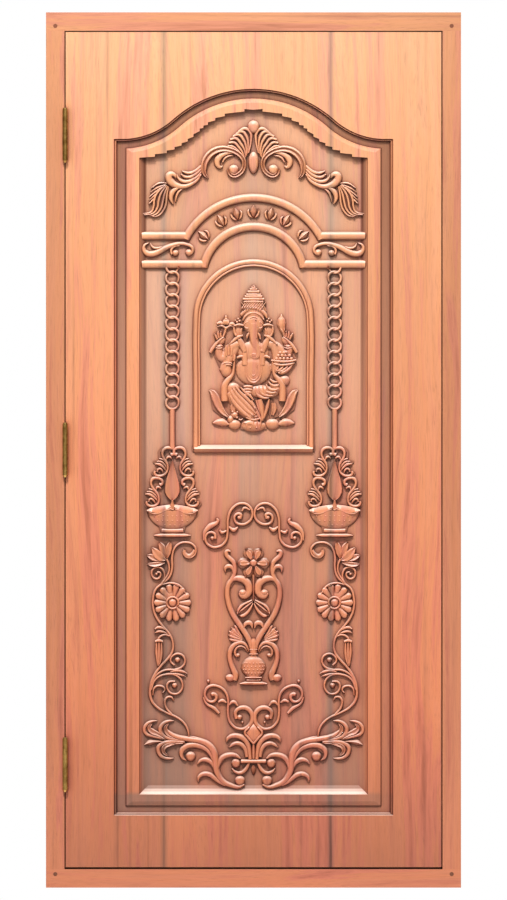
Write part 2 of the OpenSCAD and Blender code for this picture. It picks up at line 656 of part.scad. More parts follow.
module jamb(side) {
    color(frame_wood) difference() {
        union() {
            translate([side > 0 ? inner_x : -outer_x, stop_y, member_w])
                cube([member_w, frame_d / 2 - stop_y, head_back - member_w]);
            translate([side > 0 ? rebate_x : -outer_x, face_y, sill_front])
                cube([outer_x - rebate_x, stop_y - face_y, head_front - sill_front]);
            intersection() {
                tenons(0);
                translate([side > 0 ? 0 : -outer_x, -frame_d, 0]) cube([outer_x, 2 * frame_d, frame_h]);
            }
        }
        peg_holes();
        for (i = [-1.5 : 1.5])
            translate([0, fixing_y, frame_h / 2 + i * fixing_pitch]) rotate([0, 90, 0]) {
                cylinder(h = 3 * leaf_w, r = fixing_d / 2, center = true, $fn = 40);
                cylinder(h = 2 * (inner_x + 14), r = fixing_d / 2 + 4, center = true, $fn = 40);
            }
        if (side < 0)
            for (z = hinge_zs) {
                plate_space(z, -1);
                screw_holes(z, -1);
            }
    }
}

module rail(top) {
    back_z = top ? head_back : 0;
    front_z = top ? head_front : 0;
    color(frame_wood) difference() {
        union() {
            translate([-outer_x, stop_y, back_z]) cube([2 * outer_x, frame_d / 2 - stop_y, member_w]);
            translate([-outer_x, face_y, front_z])
                cube([2 * outer_x, stop_y - face_y, member_w - rebate_w]);
        }
        tenons(slack);
        peg_holes();
    }
}

module head() {
    rail(true);
}

module threshold() {
    rail(false);
}

module peg(side, top) {
    color("#8a5a3c")
        translate([side * peg_x, face_y, top ? head_front + 12 : sill_front - 12]) rotate([-90, 0, 0])
            cylinder(h = peg_l - 1, r = peg_d / 2, $fn = 40);
}

// ---- drawing the nodes ----

board(-half_w, -left_joint);  // left_board
board(-left_joint, right_joint);  // centre_board
board(right_joint, half_w);  // right_board
tongue(-left_joint);  // left_tongue
tongue(right_joint);  // right_tongue
jamb(-1);  // left_jamb
jamb(1);  // right_jamb
head();
threshold();
peg(-1, true);  // top_left_peg
peg(1, true);  // top_right_peg
peg(-1, false);  // bottom_left_peg
peg(1, false);  // bottom_right_peg
hinge_plate(hinge_zs[2], -1);  // top_hinge_frame_plate
hinge_plate(hinge_zs[2], 1);  // top_hinge_leaf_plate
hinge_pin(hinge_zs[2]);  // top_hinge_pin
hinge_screws(hinge_zs[2], -1);  // top_hinge_frame_screws
hinge_screws(hinge_zs[2], 1);  // top_hinge_leaf_screws
hinge_plate(hinge_zs[1], -1);  // middle_hinge_frame_plate
hinge_plate(hinge_zs[1], 1);  // middle_hinge_leaf_plate
hinge_pin(hinge_zs[1]);  // middle_hinge_pin
hinge_screws(hinge_zs[1], -1);  // middle_hinge_frame_screws
hinge_screws(hinge_zs[1], 1);  // middle_hinge_leaf_screws
hinge_plate(hinge_zs[0], -1);  // bottom_hinge_frame_plate
hinge_plate(hinge_zs[0], 1);  // bottom_hinge_leaf_plate
hinge_pin(hinge_zs[0]);  // bottom_hinge_pin
hinge_screws(hinge_zs[0], -1);  // bottom_hinge_frame_screws
hinge_screws(hinge_zs[0], 1);  // bottom_hinge_leaf_screws
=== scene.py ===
import math
import bmesh
import bpy
from mathutils import Matrix, Vector


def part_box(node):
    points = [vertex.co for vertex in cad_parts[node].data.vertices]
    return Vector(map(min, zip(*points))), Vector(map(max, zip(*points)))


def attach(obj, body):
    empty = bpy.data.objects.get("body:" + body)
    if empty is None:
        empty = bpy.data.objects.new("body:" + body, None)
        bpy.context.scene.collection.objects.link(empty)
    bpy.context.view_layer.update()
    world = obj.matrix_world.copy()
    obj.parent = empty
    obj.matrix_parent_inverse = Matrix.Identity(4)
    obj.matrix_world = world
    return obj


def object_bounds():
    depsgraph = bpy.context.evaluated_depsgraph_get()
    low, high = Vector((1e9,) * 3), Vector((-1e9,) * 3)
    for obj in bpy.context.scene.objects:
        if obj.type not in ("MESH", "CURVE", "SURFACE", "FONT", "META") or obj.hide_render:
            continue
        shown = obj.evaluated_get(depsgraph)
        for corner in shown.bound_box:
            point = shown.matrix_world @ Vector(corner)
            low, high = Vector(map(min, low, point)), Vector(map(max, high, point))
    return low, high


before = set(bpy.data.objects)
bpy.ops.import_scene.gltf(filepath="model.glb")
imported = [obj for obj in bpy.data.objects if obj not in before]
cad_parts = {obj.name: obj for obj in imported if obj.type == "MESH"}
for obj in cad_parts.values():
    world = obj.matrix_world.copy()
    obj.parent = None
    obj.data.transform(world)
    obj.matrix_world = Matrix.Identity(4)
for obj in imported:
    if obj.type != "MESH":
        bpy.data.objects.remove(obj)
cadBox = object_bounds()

scene = bpy.context.scene
scene.view_settings.view_transform = "Standard"
mm = 0.001

# the carving is drawn in millimetres: x from the leaf's middle, z from its foot, height above the ground
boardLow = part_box("centre_board")[0]
leafFoot = boardLow[2]
leafFace = boardLow[1]
groundY = leafFace + 14 * mm
doorHigh = cadBox[1][2]
onLeaf = Matrix(((mm, 0, 0, 0), (0, 0, -mm, groundY), (0, mm, 0, leafFoot), (0, 0, 0, 1)))


def linear(hexColour):
    channels = [int(hexColour[i:i + 2], 16) / 255 for i in (1, 3, 5)]
    return tuple(c / 12.92 if c <= 0.04045 else ((c + 0.055) / 1.055) ** 2.4 for c in channels) + (1.0,)


def feed(tree, node, inputs):
    # an input takes a value, a socket or a node's first output; a list fills the inputs in their order
    for name, value in inputs.items() if isinstance(inputs, dict) else enumerate(inputs):
        if isinstance(value, bpy.types.Node):
            value = value.outputs[0]
        if isinstance(value, bpy.types.NodeSocket):
            tree.links.new(value, node.inputs[name])
        else:
            node.inputs[name].default_value = value


def addNode(tree, kind, inputs=(), **settings):
    node = tree.nodes.new("ShaderNode" + kind)
    for name, value in settings.items():
        setattr(node, name, value)
    feed(tree, node, inputs)
    return node


def newMaterial(name):
    material = bpy.data.materials.new(name)
    material.use_nodes = True
    tree = material.node_tree
    return material, tree, tree.nodes["Principled BSDF"]


def setRamp(node, stops):
    ramp = node.color_ramp
    while len(ramp.elements) < len(stops):
        ramp.elements.new(0.5)
    for element, (place, colour) in zip(ramp.elements, stops):
        element.position = place
        element.color = linear(colour) if isinstance(colour, str) else (colour, colour, colour, 1)
    return node


# Teak, planed with the grain upright, oiled and rubbed: three glued boards of slightly different
# tone, dusty and with painted shade in the sunk ground, and paler towards the head as painted light.
teak = {
    # the tones from foot to head, here and for the frame and pegs, are painted light: darker at the foot,
    # paler at the head
    "paintedLightTones": [(0.0, "#A8674F"), (0.2, "#CB7D5E"), (0.5, "#D88E6C"), (0.8, "#DC9C78"), (1.0, "#DDA684")],
    "framePaintedLightTones": [(0.0, "#B9745A"), (0.5, "#C27F61"), (1.0, "#C78B6A")],
    "pegPaintedLightTones": [(0.0, "#6E4230"), (1.0, "#7C4C36")],
    "boardSteps": [0.1, 0.6, 0.3],
    "sway": (0.12, 0.12, 0.0),
    "roughness": 0.52,
    "waxedRoughness": 0.4,
    "figureContrast": 0.4,
    # the glue joints, in mm from the middle, and the dull line along them
    "joints": [-218, 188],
    "jointReach": 11,
    "jointLine": [(0.0, "#BCC6D0"), (0.16, "#D2DEEA"), (0.55, "#E8F0F6"), (1.0, "#FFFFFF")],
    # dust and painted shade in the ground: where they start and are full in mm behind the face, their amount,
    # colours and sides
    "dustAndShadeStart": 4.5,
    "dustAndShadeFull": {"board": 11.5, "carving": 8.5},
    "groundDustAndShade": {"board": 0.4, "carving": 0.12},
    "groundDustAndShadeTint": [(0.1, "#6F5D53"), (0.42, "#897367"), (0.58, "#BAA798"), (0.72, "#B2A599"),
                   (0.82, "#8E857D")],
    "shadeAcross": [(0.0, 0.85), (0.2, 0.8), (0.28, 0.5), (0.46, 0.34), (0.56, 0.6), (0.7, 0.8), (1.0, 0.64)],
    # the band's stretch with painted shade, its height in m and its depth in mm, and the depth that parts
    # ring from ground
    "bandHeight": (0.225, 0.235),
    "bandDepth": (1.2, 1.8),
    "ringDepth": (12.5, 13.5),
    # the colour of the painted shade in the sunk ring
    "ringShadeColour": "#8A6A5A",
    # painted shade in the ground and in the ring, from foot to head: where the change starts above the leaf's
    # foot and ends below the door's head, in m, and how strong it is at the two ends
    "footShadeSpan": (0.2, 0.35),
    "footShadeThickness": (2.1, 1.15),
    "ringShadeSpan": (0.3, 0.4),
    "ringShadeThickness": (0.1, 1.0),
    # the grain's bands with more dust and painted shade: the noise they come from, and the share they hold
    "bandNoise": (0.34, 0.66),
    "bandShare": (0.6, 1.4),
    # the painted shade on steep faces: how flat to the door a face is where it starts and where it is full,
    # and the same for its tilt
    "steepShade": "#946050",
    "steepShadeSlope": (0.92, 0.45),
    "steepShadeFacing": (0.55, -0.3),
    "leastSteepShade": {"board": 0.5, "carving": 0.0},
    # the painted highlight on what looks up, and the height in m above which it leaves the boards
    "upHighlight": "#F0D3C4",
    "upHighlightFacing": (0.12, 0.7),
    "mostUpHighlight": {"board": 1.0, "carving": 0.5},
    "upHighlightAbove": {"board": 0.0, "carving": 1.0},
    "bevelHeight": (0.3, 0.25),
    # how far the painted shade in nooks reaches, in m, and its colours from the deepest out
    "occlusionShadeReach": {"board": 0.03, "carving": 0.008},
    "occlusionShade": {"board": [(0.35, "#84706A"), (0.62, "#BCA69E"), (0.86, "#EEE4E0"), (0.99, "#FFFFFF")],
              "carving": [(0.2, "#AC7C66"), (0.55, "#E0C2B2"), (0.85, "#F9F2EE"), (0.97, "#FFFFFF")]},
    # on carved forms: edges from hollow, with painted shade, to sharp, worn paler; and the foot of each form,
    # with painted shade, from 0.5 to 5 mm above the ground
    "edgeWearAndCreaseShade": (0.40, 0.60, 0.62, 1.2),
    "formFoot": (0.5, 5),
    "formFootShade": 0.42,
    # how much the pores show in the light
    "poreStrength": 0.35,
    "poreDepth": 0.0006,
}

# each pattern of the grain: how it is stretched and moved aside, its noise, and how it shades the wood;
# a swayed one wavers slowly up the board
grain = {
    "sway": {"stretch": (5, 5, 0.8), "noise": {"Scale": 1.0, "Detail": 2.0}},
    # pores: dark dashes 0.9 mm wide and 26 mm long, coarser than real ones so that they show
    "pores": {"swayed": True, "stretch": (1, 1, 0.9 / 26), "shades": [(0.30, 0.80), (0.46, 0.97), (0.7, 1.0)],
              "noise": {"Scale": 1000 / 0.9 / 2, "Detail": 3.0, "Roughness": 0.6}},
    # growth rings about 14 mm apart
    "rings": {"swayed": True, "stretch": (1, 0.25, 0.03),
              "shades": [(0.28, 0.84), (0.42, 0.95), (0.55, 1.0), (0.75, 0.95)],
              "noise": {"Scale": 1000 / 14, "Detail": 5.0, "Roughness": 0.62}},
    # broad cloudy patches a hand wide
    "clouds": {"stretch": (4, 4, 1), "noise": {"Scale": 1.0, "Detail": 2.0}, "range": (0.3, 0.7, 0.93, 1.05)},
    # upright streaks, pinkish and yellowish, about 40 mm wide and a metre long
    "streaks": {"swayed": True, "stretch": (1, 1, 0.035),
                "noise": {"Scale": 26.0, "Detail": 4.0, "Roughness": 0.7},
                "shades": [(0.30, "#DCC6C0"), (0.41, "#FBE9EC"), (0.50, "#FFF8E2"), (0.58, "#FFFAEC"),
                           (0.72, "#EAD8D6")]},
    # a few dark veins
    "veins": {"stretch": (1, 1, 0.01), "aside": 0.31, "noise": {"Scale": 55.0, "Detail": 1.0},
              "shades": [(0.25, 0.64), (0.33, 0.92), (0.38, 1.0)]},
    # the bands of the grain that hold more dust and painted shade
    "dustAndShadeBands": {"swayed": True, "stretch": (1, 1, 0.03), "aside": 0.73,
                  "noise": {"Scale": 15.0, "Detail": 2.0}},
}
multiply = {"data_type": "RGBA", "blend_type": "MULTIPLY"}


def makeTeak(name, paintedLightTones, seed, part, lying=False, contrast=1.0):
    material, tree, shader = newMaterial(name)
    where = addNode(tree, "TexCoord").outputs["Object"]
    across, depth, up = addNode(tree, "SeparateXYZ", [where]).outputs
    if lying:
        # the grain runs from side to side
        where = addNode(tree, "CombineXYZ", [up, depth, across])
        across = depth
    # each board has its own grain: the pattern jumps sideways at a glue joint
    board = addNode(tree, "MapRange", [across, -0.5, 0.5])
    jump = addNode(tree, "ValToRGB", [board])
    jump.color_ramp.interpolation = "CONSTANT"
    places = [0.3, 0.7] if part == "frame" else [0.5 + joint * mm for joint in teak["joints"]]
    setRamp(jump, list(zip([0.0] + places, teak["boardSteps"])))
    shift = addNode(tree, "CombineXYZ", [jump, seed, seed * 0.37])
    still = addNode(tree, "VectorMath", [where, shift], operation="ADD")
    swayed = still
    # painted light: the base colour is darker towards the foot and paler towards the head
    height = addNode(tree, "MapRange", [up, leafFoot, doorHigh - 0.05])
    colour = setRamp(addNode(tree, "ValToRGB", [height]), paintedLightTones)
    noises = {}
    for key, pattern in grain.items():
        if key == "dustAndShadeBands" and part == "frame":
            continue
        place = swayed if pattern.get("swayed") else still
        stretched = addNode(tree, "Mapping", {"Vector": place, "Location": (pattern.get("aside", 0), 0, 0),
                                              "Scale": pattern["stretch"]})
        noises[key] = addNode(tree, "TexNoise", {"Vector": stretched, **pattern["noise"]})
        if key == "sway":
            swayed = addNode(tree, "VectorMath", [noises[key].outputs["Color"], teak["sway"], still],
                             operation="MULTIPLY_ADD")
        elif "range" in pattern:
            shade = addNode(tree, "MapRange", [noises[key], *pattern["range"]])
        elif "shades" in pattern:
            shade = setRamp(addNode(tree, "ValToRGB", [noises[key]]), pattern["shades"])
        if "range" in pattern or "shades" in pattern:
            colour = addNode(tree, "Mix", {0: 1.0, 6: colour, 7: shade}, **multiply).outputs[2]
    if part != "frame":
        # a dull blue-grey line has spread along each joint, about 20 mm wide
        for joint in teak["joints"]:
            away = addNode(tree, "Math", [across, joint * mm], operation="SUBTRACT")
            near = addNode(tree, "Math", [away], operation="ABSOLUTE")
            reach = addNode(tree, "MapRange", [near, 0.0, teak["jointReach"] * mm])
            line = setRamp(addNode(tree, "ValToRGB", [reach]), teak["jointLine"])
            colour = addNode(tree, "Mix", {0: 1.0, 6: colour, 7: line}, **multiply).outputs[2]
        # dust greys the sunk ring and the ground, and painted shade darkens them; what stands up is left
        # clean
        sunkDepths = [leafFace + deep * mm for deep in (teak["dustAndShadeStart"], teak["dustAndShadeFull"][part])]
        sunk = addNode(tree, "MapRange", [depth, *sunkDepths])
        if part == "board":
            # the flat band gets the painted shade too where it crosses the foot of the panel
            crossing = addNode(tree, "MapRange", [up, *teak["bandHeight"], 0.8, 0.0])
            bandDepths = [leafFace + deep * mm for deep in teak["bandDepth"]]
            lowered = addNode(tree, "MapRange", [depth, *bandDepths])
            onBand = addNode(tree, "Math", [crossing, lowered], operation="MULTIPLY")
            sunk = addNode(tree, "Math", [sunk, onBand], operation="MAXIMUM")
        front = addNode(tree, "Math", [depth, groundY + 2 * mm], operation="LESS_THAN")
        amount = addNode(tree, "Math", [sunk, front], operation="MULTIPLY")
        # the painted shade grows towards the foot, and dust and shade lie in some bands of the grain more
        # than in others
        footShadeHeights = (leafFoot + teak["footShadeSpan"][0], doorHigh - teak["footShadeSpan"][1])
        darkerBelow = addNode(tree, "MapRange", [up, *footShadeHeights, *teak["footShadeThickness"]])
        shares = [share * teak["groundDustAndShade"][part] for share in teak["bandShare"]]
        bands = addNode(tree, "MapRange", [noises["dustAndShadeBands"], *teak["bandNoise"], *shares])
        # and painted shade lies heavier within 60 mm of the middle and about 210 mm out than in the column
        # between
        fromMiddle = addNode(tree, "Math", [across], operation="ABSOLUTE")
        reachOut = addNode(tree, "MapRange", [fromMiddle, 0.0, 0.3])
        dustAndShadeLies = setRamp(addNode(tree, "ValToRGB", [reachOut]), teak["shadeAcross"])
        for factor in (bands, darkerBelow, amount):
            dustAndShadeLies = addNode(tree, "Math", [dustAndShadeLies, factor], operation="MULTIPLY")
        dustAndShadeTone = setRamp(addNode(tree, "ValToRGB", [height]), teak["groundDustAndShadeTint"])
        colour = addNode(tree, "Mix", {0: dustAndShadeLies, 6: colour, 7: dustAndShadeTone}, data_type="RGBA").outputs[2]
        if part == "board":
            # painted shade darkens the sunk ring, most of all under the arch
            shallow = [leafFace + deep * mm for deep in teak["ringDepth"]]
            ringShaded = addNode(tree, "MapRange", [depth, *shallow, 1.0, 0.0])
            ringShadeHeights = (leafFoot + teak["ringShadeSpan"][0], doorHigh - teak["ringShadeSpan"][1])
            upper = addNode(tree, "MapRange", [up, *ringShadeHeights, *teak["ringShadeThickness"]])
            for factor in (upper, amount):
                ringShaded = addNode(tree, "Math", [ringShaded, factor], operation="MULTIPLY")
            ringShade = linear(teak["ringShadeColour"])
            colour = addNode(tree, "Mix", {0: ringShaded, 6: colour, 7: ringShade}, **multiply).outputs[2]
        # painted shade darkens the steep cuts, darkest on those that look down
        facing = addNode(tree, "SeparateXYZ", [addNode(tree, "TexCoord").outputs["Normal"]])
        tilt = facing.outputs["Z"]
        flat = addNode(tree, "Math", [facing.outputs["Y"]], operation="ABSOLUTE")
        steep = addNode(tree, "MapRange", [flat, *teak["steepShadeSlope"]])
        looksDown = addNode(tree, "MapRange", [tilt, *teak["steepShadeFacing"], teak["leastSteepShade"][part], contrast])
        steepShaded = addNode(tree, "Math", [steep, looksDown], operation="MULTIPLY")
        colour = addNode(tree, "Mix", {0: steepShaded, 6: colour, 7: linear(teak["steepShade"])}, **multiply).outputs[2]
        # a painted highlight makes what looks up much paler; on the boards only the bevel at the panel's foot
        looksUp = addNode(tree, "MapRange", [tilt, *teak["upHighlightFacing"], 0.0, teak["mostUpHighlight"][part]])
        bevelHeights = [leafFoot + high for high in teak["bevelHeight"]]
        low = addNode(tree, "MapRange", [up, *bevelHeights, teak["upHighlightAbove"][part]])
        upHighlighted = addNode(tree, "Math", [looksUp, low], operation="MULTIPLY")
        upHighlight = linear(teak["upHighlight"])
        colour = addNode(tree, "Mix", {0: upHighlighted, 6: colour, 7: upHighlight}, data_type="RGBA").outputs[2]
        # painted shade from ambient occlusion darkens every nook and the ground about each form
        occlusion = addNode(tree, "AmbientOcclusion", {"Distance": teak["occlusionShadeReach"][part]}, samples=8)
        occlusionShade = setRamp(addNode(tree, "ValToRGB", [occlusion.outputs["AO"]]), teak["occlusionShade"][part])
        colour = addNode(tree, "Mix", {0: contrast, 6: colour, 7: occlusionShade}, **multiply).outputs[2]
    if part == "carving":
        # rubbed edges are paler, and painted shade darkens corners and creeps up from the foot of each form
        pointiness = addNode(tree, "NewGeometry").outputs["Pointiness"]
        edgeWearAndCreaseShade = addNode(tree, "MapRange", [pointiness, *teak["edgeWearAndCreaseShade"]])
        footDepths = [groundY - high * mm for high in teak["formFoot"]]
        above = addNode(tree, "MapRange", [depth, *footDepths, teak["formFootShade"], 1.0])
        for factor in (edgeWearAndCreaseShade, above):
            colour = addNode(tree, "Mix", {0: contrast, 6: colour, 7: factor}, **multiply).outputs[2]
    # the carving is waxed and catches the light more than the flats
    dull = teak["waxedRoughness" if part == "carving" else "roughness"]
    rough = addNode(tree, "MapRange", {"Value": noises["pores"], "To Min": dull + 0.1, "To Max": dull - 0.06})
    relief = addNode(tree, "Bump", {"Height": noises["pores"], "Strength": teak["poreStrength"],
                                    "Distance": teak["poreDepth"]})
    feed(tree, shader, {"Base Color": colour, "Roughness": rough, "Normal": relief,
                        "Specular IOR Level": 0.5 if part == "carving" else 0.35})
    return material


# Cast brass, satin and browned with handling, brighter where it is rubbed: the patches are about 17 mm
# across, and the scratches about 1 mm, coarser than real ones so that they show.
brass = {
    "patchScale": 60.0,
    "scratchScale": 900.0,
    "scratchDepth": 0.0003,
}


def makeBrass(name, bright, brown, roughness):
    material, tree, shader = newMaterial(name)
    where = addNode(tree, "TexCoord").outputs["Object"]
    patches = addNode(tree, "TexNoise", {"Vector": where, "Scale": brass["patchScale"], "Detail": 4.0})
    tarnish = setRamp(addNode(tree, "ValToRGB", [patches]), [(0.35, brown), (0.65, bright)])
    smear = addNode(tree, "MapRange", {"Value": patches, "To Min": roughness + 0.12,
                                       "To Max": roughness - 0.08})
    scratches = addNode(tree, "TexNoise", {"Vector": where, "Scale": brass["scratchScale"], "Detail": 2.0})
    bump = addNode(tree, "Bump", {"Height": scratches, "Strength": 0.12, "Distance": brass["scratchDepth"]})
    feed(tree, shader, {"Base Color": tarnish, "Metallic": 1.0, "Roughness": smear, "Normal": bump})
    return material


boardTeak = makeTeak("oiledBoardTeak", teak["paintedLightTones"], 0.0, "board")
carvedTeak = makeTeak("oiledCarvedTeak", teak["paintedLightTones"], 0.0, "carving")
# the figure gets less painted shade in its folds and hollows
softShadedTeak = makeTeak("softShadedFigureTeak", teak["paintedLightTones"], 0.0, "carving", contrast=teak["figureContrast"])
frameTeak = makeTeak("oiledFrameTeak", teak["framePaintedLightTones"], 3.1, "frame")
lyingTeak = makeTeak("oiledLyingTeak", teak["framePaintedLightTones"], 4.3, "frame", True)
pegWood = makeTeak("oiledPegEndGrain", teak["pegPaintedLightTones"], 5.7, "frame")
agedBrass = makeBrass("agedCastBrass", "#C9A25C", "#8A6632", 0.36)
pinBrass = makeBrass("rubbedPinBrass", "#D8B56C", "#A8813F", 0.26)
print("materials made")

for node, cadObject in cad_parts.items():
    if "board" in node:
        finish = boardTeak
    elif "peg" in node or "tongue" in node:
        finish = pegWood
    elif node.endswith("pin"):
        finish = pinBrass
    elif "hinge" in node:
        finish = agedBrass
    elif node in ("head", "threshold"):
        finish = lyingTeak
    else:
        finish = frameTeak
    cadObject.data.materials.clear()
    cadObject.data.materials.append(finish)
print("made nodes dressed")

# cross sections of a carved line, one unit to each side and one unit high, sunk below the ground
sections = {
    "round": [
        (-1.2, -0.5), (-1.12, 0.05), (-0.98, 0.34), (-0.82, 0.66), (-0.5, 0.91), (0, 1), (0.5, 0.91),
        (0.82, 0.66), (0.98, 0.34), (1.12, 0.05), (1.2, -0.5),
    ],
    "grooved": [
        (-1.18, -0.5), (-1.1, 0.05), (-0.98, 0.45), (-0.85, 0.85), (-0.62, 1), (-0.38, 0.86), (-0.1, 0.5),
        (0.1, 0.5), (0.38, 0.86), (0.62, 1), (0.85, 0.85), (0.98, 0.45), (1.1, 0.05), (1.18, -0.5),
    ],
    "keeled": [
        (-1.15, -0.5), (-1.08, 0.05), (-0.95, 0.28), (-0.6, 0.5), (-0.2, 0.84), (0, 1), (0.2, 0.84),
        (0.6, 0.5), (0.95, 0.28), (1.08, 0.05), (1.15, -0.5),
    ],
    "dished": [
        (-1.15, -0.5), (-1.08, 0.05), (-0.98, 0.5), (-0.86, 0.88), (-0.66, 1), (-0.36, 0.84), (0, 0.7),
        (0.36, 0.84), (0.66, 1), (0.86, 0.88), (0.98, 0.5), (1.08, 0.05), (1.15, -0.5),
    ],
    "scooped": [
        (-1.1, -0.5), (-1.06, 0.1), (-1, 0.6), (-0.93, 0.94), (-0.85, 1), (-0.6, 0.74), (-0.3, 0.56),
        (0, 0.5), (0.3, 0.56), (0.6, 0.74), (0.85, 1), (0.93, 0.94), (1, 0.6), (1.06, 0.1), (1.1, -0.5),
    ],
    "tilted": [(-1.05, -0.5), (-1.02, 0.2), (-0.9, 0.9), (-0.75, 1), (0.95, 0.12), (1.05, -0.5)],
}
sectionCurves = {}
for sectionName, sectionPoints in sections.items():
    data = bpy.data.curves.new(sectionName, "CURVE")
    data.dimensions = "2D"
    spline = data.splines.new("POLY")
    spline.points.add(len(sectionPoints) - 1)
    for point, place in zip(spline.points, sectionPoints):
        point.co = (place[0], place[1], 0, 1)
    spline.use_cyclic_u = True
    sectionCurves[sectionName] = bpy.data.objects.new(sectionName, data)

# how every carved piece is cut, in mm above the ground: a line rises by a base and a share of its half width,
# and lower where it is finer; what passes the crown is eased, so that nothing passes the leaf's face, and
# what lies under the skirt, hidden in the ground, is kept thin
cutting = {
    "lineRise": 5.6,
    "risePerWidth": 0.36,
    "fineWidth": 2.2,
    "crown": 10,
    "crownEase": 0.44,
    "skirt": -4,
    "skirtEase": 0.15,
    "sharpAngle": 48,
}


def standing(halfWidth):
    fine = min(1.0, halfWidth / cutting["fineWidth"])
    return fine * (cutting["lineRise"] + cutting["risePerWidth"] * halfWidth)


def cutLines(bm, lines, section="round", lift=0.0, tall=1.0, closed=False, steps=4):
    # lines is a list of lists of (x, z, half width)
    made = []
    for line in lines:
        data = bpy.data.curves.new("line", "CURVE")
        data.dimensions = "3D"
        data.twist_mode = "Z_UP"
        data.resolution_u = steps
        data.bevel_mode = "OBJECT"
        data.bevel_object = sectionCurves[section]
        data.use_fill_caps = not closed
        spline = data.splines.new("BEZIER")
        spline.bezier_points.add(len(line) - 1)
        for point, (x, z, halfWidth) in zip(spline.bezier_points, line):
            point.co = (x, z, 0)
            point.radius = halfWidth
            point.handle_left_type = "AUTO"
            point.handle_right_type = "AUTO"
        spline.use_cyclic_u = closed
        made.append(bpy.data.objects.new("line", data))
        bpy.context.collection.objects.link(made[-1])
    graph = bpy.context.evaluated_depsgraph_get()
    count = len(sections[section])
    for worked in made:
        start = len(bm.verts)
        bm.from_mesh(worked.evaluated_get(graph).to_mesh())
        bm.verts.ensure_lookup_table()
        fresh = bm.verts[start:]
        # the section came out as tall as the line is wide: each ring of points gets its own height
        for first in range(0, len(fresh), count):
            ring = fresh[first:first + count]
            halfWidth = max(vert.co.z for vert in ring)
            rise = standing(halfWidth) * tall / max(halfWidth, 0.01)
            for vert in ring:
                vert.co.z = vert.co.z * rise + (lift if vert.co.z > 0 else 0)
        bmesh.ops.remove_doubles(bm, verts=fresh, dist=0.001)
        worked.evaluated_get(graph).to_mesh_clear()
        data = worked.data
        bpy.data.objects.remove(worked)
        bpy.data.curves.remove(data)


def cutAll(bm, shapes, lifts):
    for key, lift in lifts:
        cutLines(bm, shapes[key], "round", lift)


def dome(bm, x, z, wide, high, rise, turn=0, base=0.0, segments=20, rings=12):
    place = Matrix.Translation((x, z, base)) @ Matrix.Rotation(math.radians(turn), 4, "Z")
    size = Matrix.Diagonal((wide, high, rise, 1))
    bmesh.ops.create_uvsphere(bm, u_segments=segments, v_segments=rings, radius=1, matrix=place @ size)


def turned(line, degrees, x, z):
    # a line drawn about the origin, turned and set down at x, z
    c = math.cos(math.radians(degrees))
    s = math.sin(math.radians(degrees))
    return [(x + c * p[0] - s * p[1], z + s * p[0] + c * p[1], p[2]) for p in line]


def circle(x, z, radius, halfWidth):
    return [(x + radius * math.cos(math.radians(a)), z + radius * math.sin(math.radians(a)), halfWidth)
            for a in range(0, 360, 45)]


def paired(lines):
    # the lines and their mirror images
    return lines + [[(-x, z, halfWidth) for x, z, halfWidth in line] for line in lines]


def wholeOf(bm):
    return bm.verts[:] + bm.edges[:] + bm.faces[:]


def mirrorCarving(bm):
    copied = bmesh.ops.duplicate(bm, geom=wholeOf(bm))
    fresh = [item for item in copied["geom"] if isinstance(item, bmesh.types.BMVert)]
    bmesh.ops.scale(bm, vec=(-1, 1, 1), verts=fresh)


def cutAway(bm, place, normal, outer):
    # takes off what lies beyond a plane, or before it, and closes the cut
    cut = bmesh.ops.bisect_plane(bm, geom=wholeOf(bm), plane_co=place, plane_no=normal,
                                 clear_outer=outer, clear_inner=not outer)
    bmesh.ops.holes_fill(bm, edges=[item for item in cut["geom_cut"] if isinstance(item, bmesh.types.BMEdge)])


def finishCarving(bm, name, finish=carvedTeak):
    bmesh.ops.recalc_face_normals(bm, faces=bm.faces)
    for vert in bm.verts:
        if vert.co.z > cutting["crown"]:
            vert.co.z = cutting["crown"] + (vert.co.z - cutting["crown"]) * cutting["crownEase"]
        elif vert.co.z < cutting["skirt"]:
            vert.co.z = cutting["skirt"] + (vert.co.z - cutting["skirt"]) * cutting["skirtEase"]
    bmesh.ops.transform(bm, matrix=onLeaf, verts=bm.verts)
    mesh = bpy.data.meshes.new(name)
    bm.to_mesh(mesh)
    bm.free()
    mesh.polygons.foreach_set("use_smooth", [True] * len(mesh.polygons))
    mesh.set_sharp_from_angle(angle=math.radians(cutting["sharpAngle"]))
    piece = bpy.data.objects.new(name, mesh)
    bpy.context.collection.objects.link(piece)
    mesh.materials.append(finish)
    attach(piece, "leaf")
    print(name, "carved,", len(mesh.polygons), "faces")


